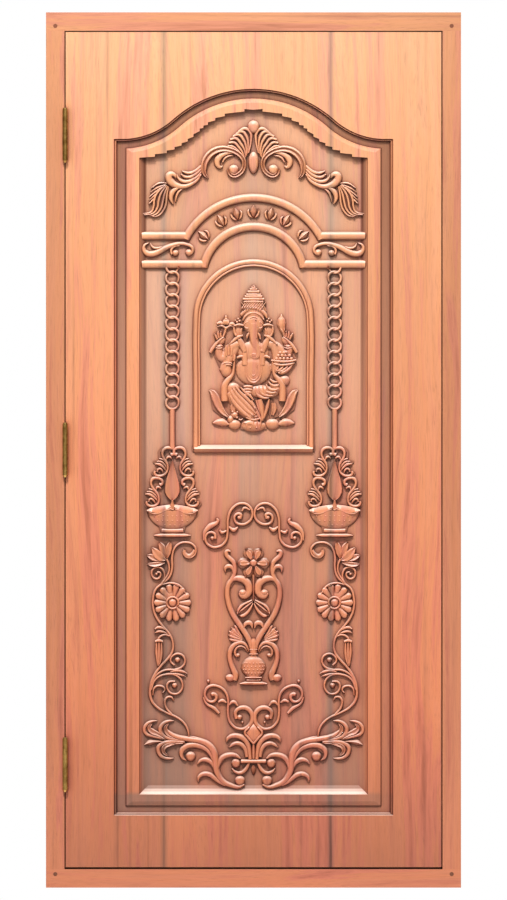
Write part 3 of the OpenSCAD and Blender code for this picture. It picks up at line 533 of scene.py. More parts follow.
# the crest over the upper rail; every line below is drawn on the left half and mirrored, except where it
# stands in the middle, and every dome is given as x, z, half width, half height and rise
crest = {
    "fan": [
        [(-36, 1789, 3), (-21, 1797, 4.4), (-8, 1788, 4.2), (-6, 1768, 3.4), (-12, 1738, 2.4)],
        [(-42, 1783, 3), (-29, 1790, 4.2), (-17, 1778, 4), (-13, 1762, 3.2), (-15, 1736, 2.2)],
        [(-50, 1777, 3), (-37, 1782, 4.2), (-24, 1769, 4), (-18, 1753, 3.2), (-17, 1731, 2.2)],
        [(-56, 1770, 3), (-43, 1773, 4), (-31, 1760, 3.8), (-22, 1745, 3), (-19, 1727, 2.2)],
        [(-60, 1762, 2.8), (-48, 1763, 3.8), (-37, 1753, 3.6), (-27, 1739, 2.8), (-21, 1722, 2)],
        [(-63, 1754, 2.4), (-53, 1754, 3.4), (-42, 1747, 3.2), (-31, 1735, 2.6), (-23, 1718, 1.6)],
    ],
    "scroll": [
        [(-110, 1676, 1.2), (-119, 1686, 5), (-121, 1702, 7.5), (-115, 1722, 8.5), (-100, 1739, 8.5),
         (-80, 1747, 8), (-60, 1746, 7), (-42, 1739, 6.5), (-29, 1728, 6), (-23, 1714, 5.5),
         (-25, 1698, 5.5), (-36, 1686, 5.4), (-48, 1682, 5.2), (-58, 1688, 5), (-61, 1698, 4)],
    ],
    "crescent": [
        [(-42, 1738, 1.2), (-58, 1738, 4), (-75, 1733, 6.4), (-86, 1723, 8), (-88, 1711, 7.4),
         (-81, 1703, 4.8), (-75, 1706, 1.6)],
        [(-46, 1731, 1), (-60, 1730, 2.6), (-70, 1724, 3), (-75, 1715, 2.2)],
    ],
    "leaves": [
        [(-120, 1712, 2), (-129, 1704, 3.8), (-138, 1696, 4.2), (-149, 1690, 4.2), (-162, 1689, 3.8),
         (-174, 1694, 1.6)],
        [(-122, 1704, 2), (-133, 1693, 3.8), (-144, 1684, 4.4), (-156, 1679, 4.4), (-168, 1680, 3.8),
         (-177, 1687, 1.6)],
        [(-124, 1696, 2), (-135, 1682, 3.8), (-147, 1673, 4.6), (-161, 1668, 5), (-175, 1670, 4.6),
         (-184, 1678, 3), (-187, 1687, 1.4)],
    ],
    "claw": [
        [(-188, 1676, 1.6), (-193, 1684, 5), (-202, 1685, 8), (-206, 1677, 9.4), (-201, 1667, 9.4),
         (-189, 1659, 8), (-170, 1656, 6), (-151, 1662, 5), (-136, 1673, 3.8), (-127, 1687, 2)],
    ],
    "under": [
        [(-174, 1657, 1.4), (-187, 1651, 5), (-198, 1640, 6.8), (-201, 1627, 6), (-195, 1613, 1.6)],
        [(-170, 1652, 1.2), (-182, 1643, 3.4), (-188, 1630, 3), (-190, 1618, 1.2)],
    ],
    "plume": [
        [(-213, 1660, 2.2), (-233, 1642, 3.4), (-241, 1625, 3.4), (-243, 1607, 3.2), (-249, 1594, 2.8),
         (-272, 1590, 1)],
        [(-211, 1659, 2.2), (-225, 1639, 3.4), (-231, 1620, 3.4), (-234, 1604, 3.2), (-244, 1591, 2.8),
         (-266, 1587, 1)],
        [(-209, 1657, 2.2), (-217, 1636, 3.4), (-221, 1617, 3.4), (-226, 1601, 3.2), (-238, 1588, 2.8),
         (-256, 1584, 1)],
        [(-207, 1656, 2), (-211, 1634, 3.2), (-213, 1614, 3.2), (-219, 1598, 3), (-232, 1585, 2.4),
         (-247, 1583, 1)],
    ],
    "barbs": [
        [(-210, 1664, 1.6), (-230, 1664, 2.8), (-249, 1652, 1.2)],
        [(-216, 1660, 2), (-234, 1653, 2.8), (-251, 1642, 1.2)],
        [(-222, 1655, 2), (-237, 1644, 2.8), (-253, 1631, 1.2)],
        [(-229, 1645, 2), (-241, 1634, 2.8), (-254, 1622, 1.2)],
        [(-238, 1630, 2), (-246, 1622, 2.8), (-255, 1613, 1.2)],
    ],
    "bead": (-48, 1697, 12.5, 12.5, 12),
    "knob": (0, 1801, 14.5, 16.5, 12.5),
    "drop": (0, 1714, 13.5, 27.5, 12.8),
}

bm = bmesh.new()
cutAll(bm, crest, (("barbs", 0), ("plume", 0.8), ("under", 0.6), ("leaves", 0), ("fan", 0), ("crescent", 0),
                   ("claw", 0.8)))
cutLines(bm, crest["scroll"], "grooved", 1.2)
dome(bm, *crest["bead"])
mirrorCarving(bm)
dome(bm, *crest["knob"])
dome(bm, *crest["drop"], segments=24, rings=16)
finishCarving(bm, "crestScrolls")

# the two arched rails, with seven buds standing on the band between them
rails = {
    "upper": {"railZ": 1536, "kneeX": 161, "topZ": 1628.5, "half": 9.5},
    "lower": {"railZ": 1466.5, "kneeX": 119.5, "topZ": 1558, "half": 10},
    "endX": 272,
    "budTurns": [-51, -30.5, -15.5, 0, 15.5, 30.5, 51],
    "bud": [(0, -15, 1.2), (0, -8, 5), (0, 1, 8), (0, 9, 5.4), (0, 17, 1)],
    "budLeaf": [(-3, -14, 1.4), (-9, -9, 3), (-13, 0, 3), (-11, 8, 1)],
    # where a rail's straight end bends, and how far it laps under the arch
    "endBreaks": [200, 5],
    # the arc that the buds stand on
    "bandRadius": 156,
    "bandCentre": 1438,
}


def archLine(rail, steps=12):
    rise = rail["topZ"] - rail["railZ"]
    radius = (rail["kneeX"] ** 2 + rise ** 2) / (2 * rise)
    turn = math.asin(rail["kneeX"] / radius)
    return [(radius * math.sin(turn * i / steps), rail["topZ"] - radius + radius * math.cos(turn * i / steps),
             rail["half"]) for i in [-steps - 0.5] + list(range(-steps, steps + 1)) + [steps + 0.5]]


bm = bmesh.new()
for rail in (rails["upper"], rails["lower"]):
    stops = (rails["endX"], rails["endBreaks"][0], rail["kneeX"] - rails["endBreaks"][1])
    cutLines(bm, paired([[(-x, rail["railZ"], rail["half"]) for x in stops]]), tall=0.95)
    cutLines(bm, [archLine(rail)], lift=0.2, tall=0.95)
finishCarving(bm, "archedRails")

bm = bmesh.new()
for turn in rails["budTurns"]:
    x = math.sin(math.radians(turn)) * rails["bandRadius"]
    z = rails["bandCentre"] + math.cos(math.radians(turn)) * rails["bandRadius"]
    cutLines(bm, [turned(line, -turn, x, z) for line in paired([rails["budLeaf"]])])
    cutLines(bm, [turned(rails["bud"], -turn, x, z)], "keeled", 1)
finishCarving(bm, "bandBuds")

railScroll = {
    "stem": [
        [(-255, 1519, 1.4), (-265, 1513, 3.4), (-267, 1503, 5.4), (-260, 1494, 7), (-247, 1492, 7.6),
         (-231, 1497, 7.4), (-214, 1506, 6.4), (-197, 1513, 5.4), (-179, 1517, 4.6), (-163, 1515, 4.2),
         (-150, 1508, 4), (-148, 1498, 4), (-154, 1491, 3)],
    ],
    "branch": [
        [(-180, 1512, 2.2), (-193, 1510, 3.4), (-200, 1502, 3.8), (-199, 1491, 3.2)],
        [(-252, 1519, 1.2), (-246, 1509, 3), (-234, 1506, 3.4), (-222, 1510, 1.4)],
    ],
    "balls": [(-157, 1495, 9.5, 9, 9.5), (-190, 1494, 8.5, 8, 9)],
}

bm = bmesh.new()
cutAll(bm, railScroll, (("branch", 0), ("stem", 0.6)))
for ball in railScroll["balls"]:
    dome(bm, *ball)
mirrorCarving(bm)
finishCarving(bm, "railScrolls")

# chains and lamps: rod, flame, bowl and foot are drawn about the lamp's middle
lamps = {
    "middle": -197.5,
    "linkPitch": 27.6,
    "linkRadius": 15.4,
    "wire": 3.3,
    "twist": 3.2,
    "rod": [(0, 1116, 6.4), (0, 1108, 7), (0, 1060, 7), (0, 1018, 7)],
    "flame": [
        (0, 990, 1), (0, 979, 4), (0, 967, 7.2), (0, 955, 10.8), (0, 944, 14), (0, 932, 17), (0, 920, 18.6),
        (0, 911, 18), (0, 903, 14.4), (0, 897, 9), (0, 893, 3),
    ],
    "wick": [(0, 894, 1.4), (0, 888, 2.6), (0, 880, 4.6), (0, 874, 5), (0, 868, 3)],
    "bowl": {"z": 867, "wide": 61, "deep": 46, "rise": 12},
    "studs": [(854, 11, 9), (843, 12, 7), (832, 12, 4)],
    "rim": [(-62, 868, 1.2), (-52, 869, 5), (-38, 869, 9), (-22, 873, 7.4), (-8, 878, 4), (2, 881, 1)],
    "lip": [(-61, 867, 1), (-46, 860, 1.8), (-32, 861, 2), (-16, 868, 2), (0, 873, 2.2)],
    "neck": [(-26, 819, 5.4), (0, 818, 5.8), (26, 819, 5.4)],
    "foot": [(-45, 807, 1.2), (-30, 807, 4.2), (0, 807, 4.8), (30, 807, 4.2), (45, 807, 1.2)],
    "curl": [
        [(11.5, 1003.5, 4.8), (6, 1005, 4.4), (3.5, 1011, 3.6), (7, 1017, 3.8), (15, 1020, 4.2),
         (24, 1019, 4.2), (30, 1013, 3.8), (32, 1004, 3.6), (29, 995, 3.4), (23, 986, 3.2), (19.5, 977, 3),
         (19.5, 967, 3), (23, 959, 3.2), (30, 953.5, 3.4), (39, 951.5, 3.6), (47, 953, 3.8), (51, 958, 3.8),
         (49, 964, 2.6)],
        [(9, 992, 1.2), (12.5, 997, 3), (17.5, 998, 3.4), (21.5, 994, 2.6), (23, 988, 1.2)],
        [(20, 973, 1.2), (24, 984, 2.4), (31, 991.5, 2.6), (40, 994, 2)],
        [(20, 967, 1.4), (27, 979, 2.8), (36, 986.5, 3), (46, 987, 1.4)],
        [(22, 962, 1.4), (30, 973, 3.4), (40, 980, 4.4), (51, 981, 1.6)],
        [(30, 957, 1.4), (33, 965.5, 2.8), (38.5, 969.5, 3.2), (43, 967, 2.8), (45.5, 961, 1.4)],
    ],
    # the lower curl is the upper one, moved this far and leaned outwards by lowerLean over curlHigh
    "lowerCurl": (10, -73.5),
    "lowerLean": 12,
    # the upper curl on the outer side stands closer in
    "outerUpper": -8,
    "links": 13,
    "firstLink": 1461,
    "curlZ": 950,
    "curlHigh": 70,
    "stud": (1.8, 1.8, 2),
    "studSink": 0.4,
}

bm = bmesh.new()
for i in range(lamps["links"]):
    z = lamps["firstLink"] - lamps["linkPitch"] * i
    link = circle(lamps["middle"], z, lamps["linkRadius"], lamps["wire"])
    if i == 0:
        # the first one hangs from under the rail, so only its lower half is cut
        link = link[4:] + link[:1]
    first = len(bm.verts)
    cutLines(bm, [link], closed=i > 0)
    bm.verts.ensure_lookup_table()
    # each link is twisted, so that it passes over the next on the left and under it on the right
    for vert in bm.verts[first:]:
        if vert.co.z > 0:
            corner = (vert.co.x - lamps["middle"]) * (vert.co.y - z) / lamps["linkRadius"] ** 2
            vert.co.z += lamps["twist"] * corner
cutLines(bm, [[(lamps["middle"] + x, z, w) for x, z, w in lamps["rod"]]], lift=0.6)
mirrorCarving(bm)
finishCarving(bm, "lampChains")

bm = bmesh.new()
for side in (-1, 1):
    upper = (lamps["outerUpper"] if side < 0 else 0, 0, 0)
    for dx, dz, lean in (upper, (*lamps["lowerCurl"], lamps["lowerLean"])):
        curl = []
        for line in lamps["curl"]:
            leaned = [(x + dx + lean * (z - lamps["curlZ"]) / lamps["curlHigh"], z + dz, w)
                      for x, z, w in line]
            curl.append([(lamps["middle"] + side * x, z, w) for x, z, w in leaned])
        cutLines(bm, curl[1:])
        cutLines(bm, curl[:1], lift=0.8)
# the bowl is the lower half of a dome
bowl = lamps["bowl"]
cup = bmesh.new()
dome(cup, lamps["middle"], bowl["z"], bowl["wide"], bowl["deep"], bowl["rise"], segments=64, rings=32)
cutAway(cup, (0, bowl["z"] + 1, 0), (0, 1, 0), True)
cupMesh = bpy.data.meshes.new("cup")
cup.to_mesh(cupMesh)
cup.free()
bm.from_mesh(cupMesh)
bpy.data.meshes.remove(cupMesh)
for z, span, count in lamps["studs"]:
    for i in range(count):
        x = span * (i - (count - 1) / 2)
        slope = 1 - (x / bowl["wide"]) ** 2 - ((z - bowl["z"]) / bowl["deep"]) ** 2
        base = bowl["rise"] * math.sqrt(slope) - lamps["studSink"]
        dome(bm, lamps["middle"] + x, z, *lamps["stud"], base=base, segments=8, rings=6)
parts = {key: [(lamps["middle"] + x, z, w) for x, z, w in lamps[key]]
         for key in ("flame", "wick", "rim", "lip", "neck", "foot")}
otherRim, otherLip = [[(2 * lamps["middle"] - x, z, w) for x, z, w in parts[key]] for key in ("rim", "lip")]
cutLines(bm, [parts["flame"]], "scooped", 1, tall=0.72)
cutLines(bm, [parts["rim"][::-1], otherRim], "tilted", 4.6)
cutLines(bm, [parts["wick"]], "keeled", 8)
cutLines(bm, [parts["lip"], otherLip], lift=7)
cutLines(bm, [parts["neck"]], tall=0.8)
cutLines(bm, [parts["foot"]], lift=1.6)
mirrorCarving(bm)
finishCarving(bm, "hangingLamps")

# the flowering vines and their daisies
vine = {
    "stems": [
        [(-169, 774, 1.5), (-170, 762, 3), (-160, 753, 3), (-146, 757, 3), (-140, 770, 3), (-147, 784, 3),
         (-163, 790, 3), (-180, 787, 3), (-193, 774, 3), (-198, 755, 3.5), (-198, 728, 3.5),
         (-204, 707, 3.5), (-220, 691, 3), (-237, 677, 3), (-244, 656, 3.5), (-244, 630, 3.5),
         (-236, 607, 3.5), (-220, 585, 3), (-204, 566, 3), (-196, 545, 3), (-198, 523, 3.5),
         (-211, 504, 3.5), (-228, 486, 3.5), (-243, 462, 4), (-251, 435, 4), (-249, 408, 4),
         (-236, 390, 3.5), (-213, 376, 3), (-188, 365, 3), (-169, 350, 3), (-159, 331, 3), (-157, 317, 2)],
        [(-212, 750, 3), (-206, 736, 3), (-206, 718, 3), (-220, 694, 3)],
        [(-226, 686, 2), (-218, 699, 3), (-218, 718, 3), (-228, 729, 3), (-242, 727, 3), (-248, 714, 3),
         (-240, 702, 3), (-228, 705, 3), (-227, 716, 2.5), (-235, 718, 2)],
        [(-224, 687, 2), (-200, 691, 3), (-178, 683, 3), (-163, 661, 2)],
        [(-203, 562, 2.5), (-217, 565, 3), (-230, 557, 3), (-231, 547, 4)],
        [(-248, 442, 3), (-238, 465, 3), (-215, 479, 3), (-188, 481, 3), (-171, 490, 3), (-167, 505, 3),
         (-178, 518, 3), (-194, 516, 3), (-202, 503, 3), (-193, 491, 2.5)],
        [(-249, 432, 3), (-238, 457, 3), (-212, 469, 3), (-188, 466, 3), (-173, 447, 3), (-178, 427, 3),
         (-194, 421, 3), (-209, 432, 3), (-207, 449, 3), (-191, 452, 2.5)],
        [(-245, 418, 2), (-241, 436, 3), (-228, 441, 3), (-216, 433, 3), (-222, 422, 1.5)],
        [(-199, 371, 3), (-214, 391, 3), (-213, 410, 3), (-201, 414, 3), (-194, 405, 1.5)],
    ],
    "petals": [
        [(-211, 752, 3), (-208, 764, 7.4), (-206, 776, 8.6), (-204, 785, 6), (-203, 792, 1.4)],
        [(-214, 754, 3), (-219, 766, 8.6), (-223, 778, 9), (-227, 786, 5.6), (-229, 791, 1.4)],
        [(-218, 745, 2), (-232, 749, 6.6), (-244, 753, 9), (-252, 756, 6.6), (-259, 758, 1.6)],
        [(-216, 741, 2), (-228, 738, 5.8), (-240, 736, 7), (-249, 736, 5.4), (-258, 738, 1.4)],
        [(-214, 747, 3), (-224, 752, 9.8), (-233, 760, 11.6), (-241, 769, 8), (-248, 778, 1.4)],
    ],
    "leaves": [
        [(-206, 572, 1.6), (-218, 580, 4), (-232, 583, 4), (-241, 578, 1.2)],
        [(-208, 567, 1.6), (-220, 572, 3.6), (-232, 573, 3.4), (-241, 568, 1.2)],
        [(-203, 474, 1.6), (-188, 478, 4.4), (-174, 476, 4), (-161, 471, 1)],
        [(-205, 470, 1.6), (-190, 470, 3.4), (-176, 467, 3.4), (-165, 464, 1)],
    ],
    "tendril": [(-168, 772, 3), (-166, 762, 5), (-157, 757, 5.6), (-148, 763, 4.4), (-143, 772, 3.4)],
    "bud": [
        [(-236, 545, 2.4), (-236, 522, 4.4), (-234, 500, 3), (-233, 487, 1)],
        [(-230, 545, 2.8), (-230, 520, 4.6), (-231, 498, 3), (-233, 486, 1)],
        [(-224, 545, 2.4), (-224, 522, 4.2), (-227, 500, 3), (-232, 487, 1)],
    ],
    "budCap": [(-239, 548, 3), (-230, 551, 4.6), (-221, 548, 3)],
    "balls": [(-185, 504, 7), (-192, 442, 7), (-236, 713, 4)],
}

bm = bmesh.new()
cutLines(bm, vine["leaves"])
for i, petal in enumerate(vine["petals"]):
    cutLines(bm, [petal], "dished", 0.5 * i)
cutLines(bm, vine["stems"])
cutLines(bm, vine["bud"] + [vine["tendril"]])
cutLines(bm, [vine["budCap"]], lift=1)
for x, z, r in vine["balls"]:
    dome(bm, x, z, r, r, r + 2)
mirrorCarving(bm)
finishCarving(bm, "vineStems")

daisy = {
    "place": (-197, 643),
    "petals": 14,
    "petal": [(0, 12, 3), (0, 20, 4.6), (0, 29, 6.8), (0, 37, 8.4), (0, 42, 7.6), (0, 45, 4)],
    "plate": (38, 38, 5.6),
    "button": (11.5, 11.5, 12),
    # the ring round the button: its radius and half width
    "ring": (14, 2.8),
}

bm = bmesh.new()
dome(bm, *daisy["place"], *daisy["plate"], segments=42)
for i in range(daisy["petals"]):
    turn = 360 / daisy["petals"] * (i + 0.5)
    cutLines(bm, [turned(daisy["petal"], turn, *daisy["place"])], lift=0.5 * (i % 2), tall=0.92)
cutLines(bm, [circle(*daisy["place"], *daisy["ring"])], lift=3.4, closed=True)
dome(bm, *daisy["place"], *daisy["button"], segments=24)
mirrorCarving(bm)
finishCarving(bm, "daisies")

# the scrolled foot of the panel
footScrolls = {
    "rims": [
        [(-234, 356, 1.2), (-248, 354, 3.6), (-260, 347, 4.8), (-266, 335, 5.2), (-262, 325, 4.8),
         (-248, 319, 4.2), (-232, 315, 3.4), (-214, 311, 2)],
        [(-193, 356, 1.2), (-208, 355, 3.8), (-221, 347, 5.2), (-227, 334, 5.6), (-222, 322, 5.6),
         (-208, 314, 5), (-190, 310, 4.2), (-170, 308, 3.4)],
        [(-194, 265, 1.2), (-208, 264, 3.6), (-222, 268, 4.8), (-231, 279, 5.4), (-231, 292, 5.6),
         (-220, 301, 5.6), (-204, 305, 5), (-186, 305, 4), (-168, 304, 3)],
        [(-163, 259, 1.4), (-173, 266, 4.4), (-175, 280, 6.4), (-166, 292, 7.2), (-150, 297, 7.4),
         (-134, 295, 7), (-118, 288, 6), (-106, 276, 5), (-98, 260, 4)],
        [(-137, 250, 1.4), (-128, 259, 4.4), (-116, 261, 6.4), (-104, 255, 6), (-96, 243, 4.4),
         (-92, 230, 3)],
        [(-135, 207, 1.4), (-133, 218, 4.4), (-122, 226, 6), (-108, 225, 6.4), (-96, 217, 6),
         (-82, 206, 5), (-68, 199, 4)],
        [(-32, 264, 2), (-42, 271, 5), (-57, 273, 6.4), (-74, 267, 6.8), (-84, 254, 6.6), (-89, 238, 5.6),
         (-91, 225, 4)],
        [(-53, 241, 1.4), (-45, 232, 4), (-31, 229, 5), (-19, 237, 5), (-12, 251, 4), (-8, 264, 3)],
        [(-66, 304, 1.4), (-62, 313, 4.4), (-50, 319, 6.4), (-36, 318, 7), (-23, 311, 7), (-14, 298, 6.6),
         (-10, 282, 6), (-8, 262, 5)],
        [(-59, 291, 1.4), (-50, 298, 4.4), (-38, 301, 5.6), (-26, 295, 5.8), (-19, 284, 5.6),
         (-16, 268, 5)],
    ],
    "stem": [
        [(-209, 334, 1.2), (-202, 325, 5), (-190, 318, 6), (-170, 313, 6.4), (-150, 310, 6.8),
         (-128, 306, 7.4), (-110, 297, 8), (-98, 282, 8.4), (-93, 264, 8.4), (-92, 244, 8), (-86, 224, 7.4),
         (-74, 208, 7), (-56, 199, 6), (-36, 195, 5), (-22, 201, 2.6)],
    ],
    "scoops": [
        [(-246, 350, 1.4), (-254, 339, 5), (-247, 330, 7.6), (-232, 323, 6), (-217, 314, 3)],
        [(-207, 350, 1.4), (-214, 338, 5), (-209, 326, 6.6), (-196, 318, 5), (-182, 312, 2)],
        [(-208, 270, 1.4), (-219, 280, 5), (-217, 291, 6), (-204, 298, 5), (-188, 301, 2)],
    ],
    "veins": [
        [(-214, 291, 1), (-204, 297, 2.6), (-190, 300, 2.8), (-166, 301, 1.6)],
        [(-158, 319, 1), (-140, 315, 2.4), (-120, 308, 2.4), (-104, 296, 2.2), (-92, 276, 1.6)],
    ],
    "spear": [[(-267, 297, 1), (-252, 303, 7), (-238, 305, 4.4), (-220, 305, 2)]],
    "balls": [(-153, 269, 12.5, 12), (-33, 210, 13, 12.5), (-43, 252, 11.5, 12.5)],
    "lozenge": [[(0, 352, 3), (-10, 340, 3.6), (-21, 327, 3), (-12, 314, 3.6), (0, 300, 3)]],
    "bar": [[(-30, 257, 4.8), (0, 257, 4.8), (30, 257, 4.8)]],
    "boss": (0, 326, 22, 27, 10.5),
    "pin": [[(0, 300, 3), (0, 280, 4.4), (0, 264, 4)]],
    "point": [[(0, 248, 3), (0, 240, 6), (0, 233, 5), (0, 224, 1)]],
}

bm = bmesh.new()
cutAll(bm, footScrolls, (("veins", 0), ("rims", 0)))
cutLines(bm, footScrolls["scoops"], "dished")
cutLines(bm, footScrolls["stem"], lift=1)
cutLines(bm, footScrolls["spear"], "keeled", 0.6)
for x, z, r, rise in footScrolls["balls"]:
    dome(bm, x, z, r, r, rise, segments=28, rings=16)
cutLines(bm, footScrolls["lozenge"], lift=2.6)
mirrorCarving(bm)
cutLines(bm, footScrolls["bar"], lift=2.6)
dome(bm, *footScrolls["boss"], segments=4)
cutLines(bm, footScrolls["pin"], lift=1)
cutLines(bm, footScrolls["point"], "keeled", 1)
finishCarving(bm, "footScrolls")

# the two scroll pairs, above and below the vase; balls are x, z and radius, drops have two half sizes
scrollPairs = {
    "lower": [
        [(-101, 422, 4), (-92, 418, 4), (-92, 407, 3.5), (-104, 402, 3), (-116, 411, 3), (-117, 428, 3),
         (-106, 440, 3.5), (-88, 440, 3), (-70, 428, 3), (-62, 408, 3), (-62, 372, 3), (-55, 349, 3),
         (-34, 336, 3), (-14, 341, 4), (-3, 359, 5), (-8, 379, 5), (-26, 388, 5), (-43, 378, 4),
         (-42, 361, 4)],
        [(-122, 414, 2), (-115, 398, 3), (-96, 386, 4), (-84, 374, 3)],
        [(-66, 400, 2), (-76, 405, 4), (-86, 401, 2)], [(-60, 394, 2), (-49, 402, 4), (-38, 392, 2)],
    ],
    "upper": [
        [(-33, 848, 4), (-31, 858, 3.5), (-43, 857, 3), (-45, 842, 3), (-33, 834, 3), (-14, 838, 3),
         (-3, 854, 3), (-8, 875, 3), (-28, 885, 3), (-49, 875, 3), (-61, 852, 3), (-63, 815, 3),
         (-68, 792, 3), (-86, 779, 3), (-106, 781, 3), (-117, 797, 3), (-110, 813, 3), (-95, 811, 3),
         (-93, 799, 3.5)],
        [(-90, 849, 2), (-87, 841, 4), (-104, 830, 6), (-119, 813, 4), (-121, 795, 2)],
        [(-66, 818, 2), (-77, 814, 4), (-83, 820, 2)], [(-60, 828, 2), (-48, 820, 5), (-38, 827, 2)],
        [(-9, 869, 2), (-22, 874, 3), (-28, 866, 2)],
    ],
    "lowerBalls": [(-34, 364, 7), (-99, 420, 6)],
    "upperBalls": [(-35, 850, 5.5), (-100, 800, 5.5)],
    "lowerDrops": [(-27, 352, 3, 4), (-110, 452, 4, 5)],
    "upperDrops": [],
    "widen": 1.2,
}

for key in ("lower", "upper"):
    bm = bmesh.new()
    cutLines(bm, [[(x, z, w * scrollPairs["widen"]) for x, z, w in line] for line in scrollPairs[key]])
    for x, z, r in scrollPairs[key + "Balls"]:
        dome(bm, x, z, r, r, r + 3)
    for x, z, w, h in scrollPairs[key + "Drops"]:
        dome(bm, x, z, w, h, 6)
    mirrorCarving(bm)
    finishCarving(bm, key + "ScrollPair")

# the vase and its spray, with six petals round the flower's middle
vase = {
    "horns": [
        [(-56, 768, 2.2), (-64, 769, 4.6), (-66, 760, 6), (-58, 751, 5.8), (-50, 743, 5.8),
         (-46, 732, 5.6), (-46, 716, 5.6), (-51, 702, 6), (-60, 688, 6.4), (-64, 668, 6.8), (-61, 644, 7),
         (-53, 620, 7), (-40, 598, 7), (-25, 576, 7), (-13, 556, 7), (-6, 538, 6.4), (-4, 520, 5),
         (-4, 500, 4)],
        [(-68, 716, 1.2), (-68, 727, 4.4), (-60, 732, 6), (-51, 727, 5), (-48, 714, 3)],
    ],
    "hook": [
        [(-58, 690, 3), (-50, 700, 6), (-36, 702, 8), (-20, 696, 9.4), (-11, 681, 9.6), (-14, 665, 9),
         (-26, 659, 7.4), (-36, 666, 3)],
    ],
    "leaf": [
        [(-3, 650, 1.4), (-14, 644, 3), (-22, 640, 2.4), (-30, 634, 3.6), (-37, 624, 3), (-39, 616, 1)],
        [(-2, 646, 1.2), (-12, 638, 2.4), (-26, 627, 2.6), (-39, 617, 1)],
        [(-1, 642, 1.2), (-8, 628, 3.6), (-17, 617, 4), (-27, 611, 4.4), (-36, 612, 1)],
    ],
    "fan": [
        [(-27, 551, 1.6), (-42, 551, 3.8), (-54, 553, 4), (-59, 555, 1.6)],
        [(-27, 553, 1.6), (-42, 557, 4), (-56, 562, 4.2), (-61, 565, 1.6)],
        [(-27, 555, 1.6), (-42, 563, 3.8), (-55, 571, 4.2), (-60, 574, 1.6)],
        [(-27, 557, 1.6), (-40, 568, 3.8), (-50, 578, 4.2), (-54, 583, 1.6)],
        [(-27, 559, 1.6), (-37, 572, 3.4), (-43, 583, 3.8), (-46, 589, 1.4)],
    ],
    "heart": [[(-24, 580, 2), (-20, 590, 5), (-12, 594.5, 6.4), (-5, 590, 5), (-3, 581, 1.6)]],
    "handle": [
        [(-11, 524, 1.6), (-17, 538, 3.4), (-29, 546, 5), (-43, 543, 6), (-54, 531, 6.4), (-58, 514, 6.4),
         (-55, 496, 6.4), (-49, 480, 7), (-44, 466, 8), (-47, 455, 8)],
        [(-14, 523, 1.2), (-22, 534, 2.4), (-34, 537, 2.8), (-43, 530, 3.2), (-45, 519, 3.6),
         (-40, 512, 3.6)],
    ],
    "body": [
        [(0, 531, 6), (0, 520, 7), (0, 512, 11), (0, 505, 20), (0, 495, 26), (0, 484, 28), (0, 474, 25),
         (0, 466, 18), (0, 460, 15)],
    ],
    "trunk": [[(0, 556, 5), (0, 546, 9), (0, 536, 9), (0, 526, 8), (0, 517, 9)]],
    "shell": [[(-27, 555, 2), (-35, 559, 7), (-44, 565, 13), (-51, 569, 15), (-56, 572, 9)]],
    "rings": [
        [(-9, 529, 1.6), (0, 530, 2.6), (9, 529, 1.6)], [(-10, 518, 1.6), (0, 519, 2.4), (10, 518, 1.6)],
        [(-20, 461, 1.6), (0, 461, 3), (20, 461, 1.6)], [(-17, 455, 1.6), (0, 455, 2.6), (17, 455, 1.6)],
        [(-33, 446, 1.6), (-20, 447, 4), (0, 447, 4.4), (20, 447, 4), (33, 446, 1.6)],
    ],
    # the height of each row of dots on the body, and how far its dots reach
    "dotRows": [(497, 23), (489, 26.4), (481, 26.4), (473, 22)],
    "petalTurns": [27, 92, 150, -27, -92, -150],
    "petal": [(0, 9, 2), (0, 15, 4.6), (0, 22, 6.6), (0, 28, 6.4), (0, 32, 3.4), (0, 34, 1.2)],
    "petalUnder": [(0, 8, 4), (0, 16, 9), (0, 25, 13), (0, 32, 12), (0, 37, 7), (0, 39, 2)],
    "blade": [[(-3, 647, 2), (-13, 638, 9.6), (-24, 628, 13), (-33, 619, 9), (-40, 613, 2)]],
    "plinth": [[(0, 460, 16), (0, 452, 17), (0, 447, 20)]],
    "stalk": [[(0, 712, 4.4), (0, 702, 3.4), (0, 690, 3), (0, 668, 2.4), (0, 648, 2)]],
    "balls": [(-57, 460, 12, 10, 11.5), (-38, 515, 5.6, 5.6, 9), (-26, 667, 10, 9, 9.6)],
    "dot": (2.2, 2, 2.4),
    # the turn from dot to dot, how far the rows sag, and the body's bulge under them
    "dotStep": 22,
    "dotSag": 1.4,
    "bulge": 9.8,
    "dotBase": 1.6,
    "flower": (0, 740),
    "eye": (10.5, 10.5, 12),
}

bm = bmesh.new()
cutLines(bm, vase["shell"], tall=0.62)
cutAll(bm, vase, (("fan", 0), ("leaf", 3)))
cutLines(bm, vase["blade"], tall=0.36)
cutLines(bm, vase["horns"] + vase["hook"] + vase["heart"] + vase["handle"])
for ball in vase["balls"]:
    dome(bm, *ball)
mirrorCarving(bm)
cutLines(bm, vase["body"], tall=0.72)
cutLines(bm, vase["plinth"], tall=0.6)
cutAll(bm, vase, (("rings", 3.4), ("trunk", 1.2)))
for row, (z, span) in enumerate(vase["dotRows"]):
    for i in range(-3, 4):
        # every second row is set off by half a step, and the dots follow the round of the body
        turn = math.radians(i * vase["dotStep"] + vase["dotStep"] / 2 * (row % 2))
        base = vase["bulge"] * math.cos(turn) + vase["dotBase"]
        dome(bm, span * math.sin(turn), z - vase["dotSag"] * math.cos(turn), *vase["dot"], base=base,
             segments=8, rings=6)
cutLines(bm, vase["stalk"])
for turn in vase["petalTurns"]:
    cutLines(bm, [turned(vase["petalUnder"], turn, *vase["flower"])], tall=0.42)
    cutLines(bm, [turned(vase["petal"], turn, *vase["flower"])], "dished", 4.2)
dome(bm, *vase["flower"], *vase["eye"], segments=24)
finishCarving(bm, "vaseAndSpray")

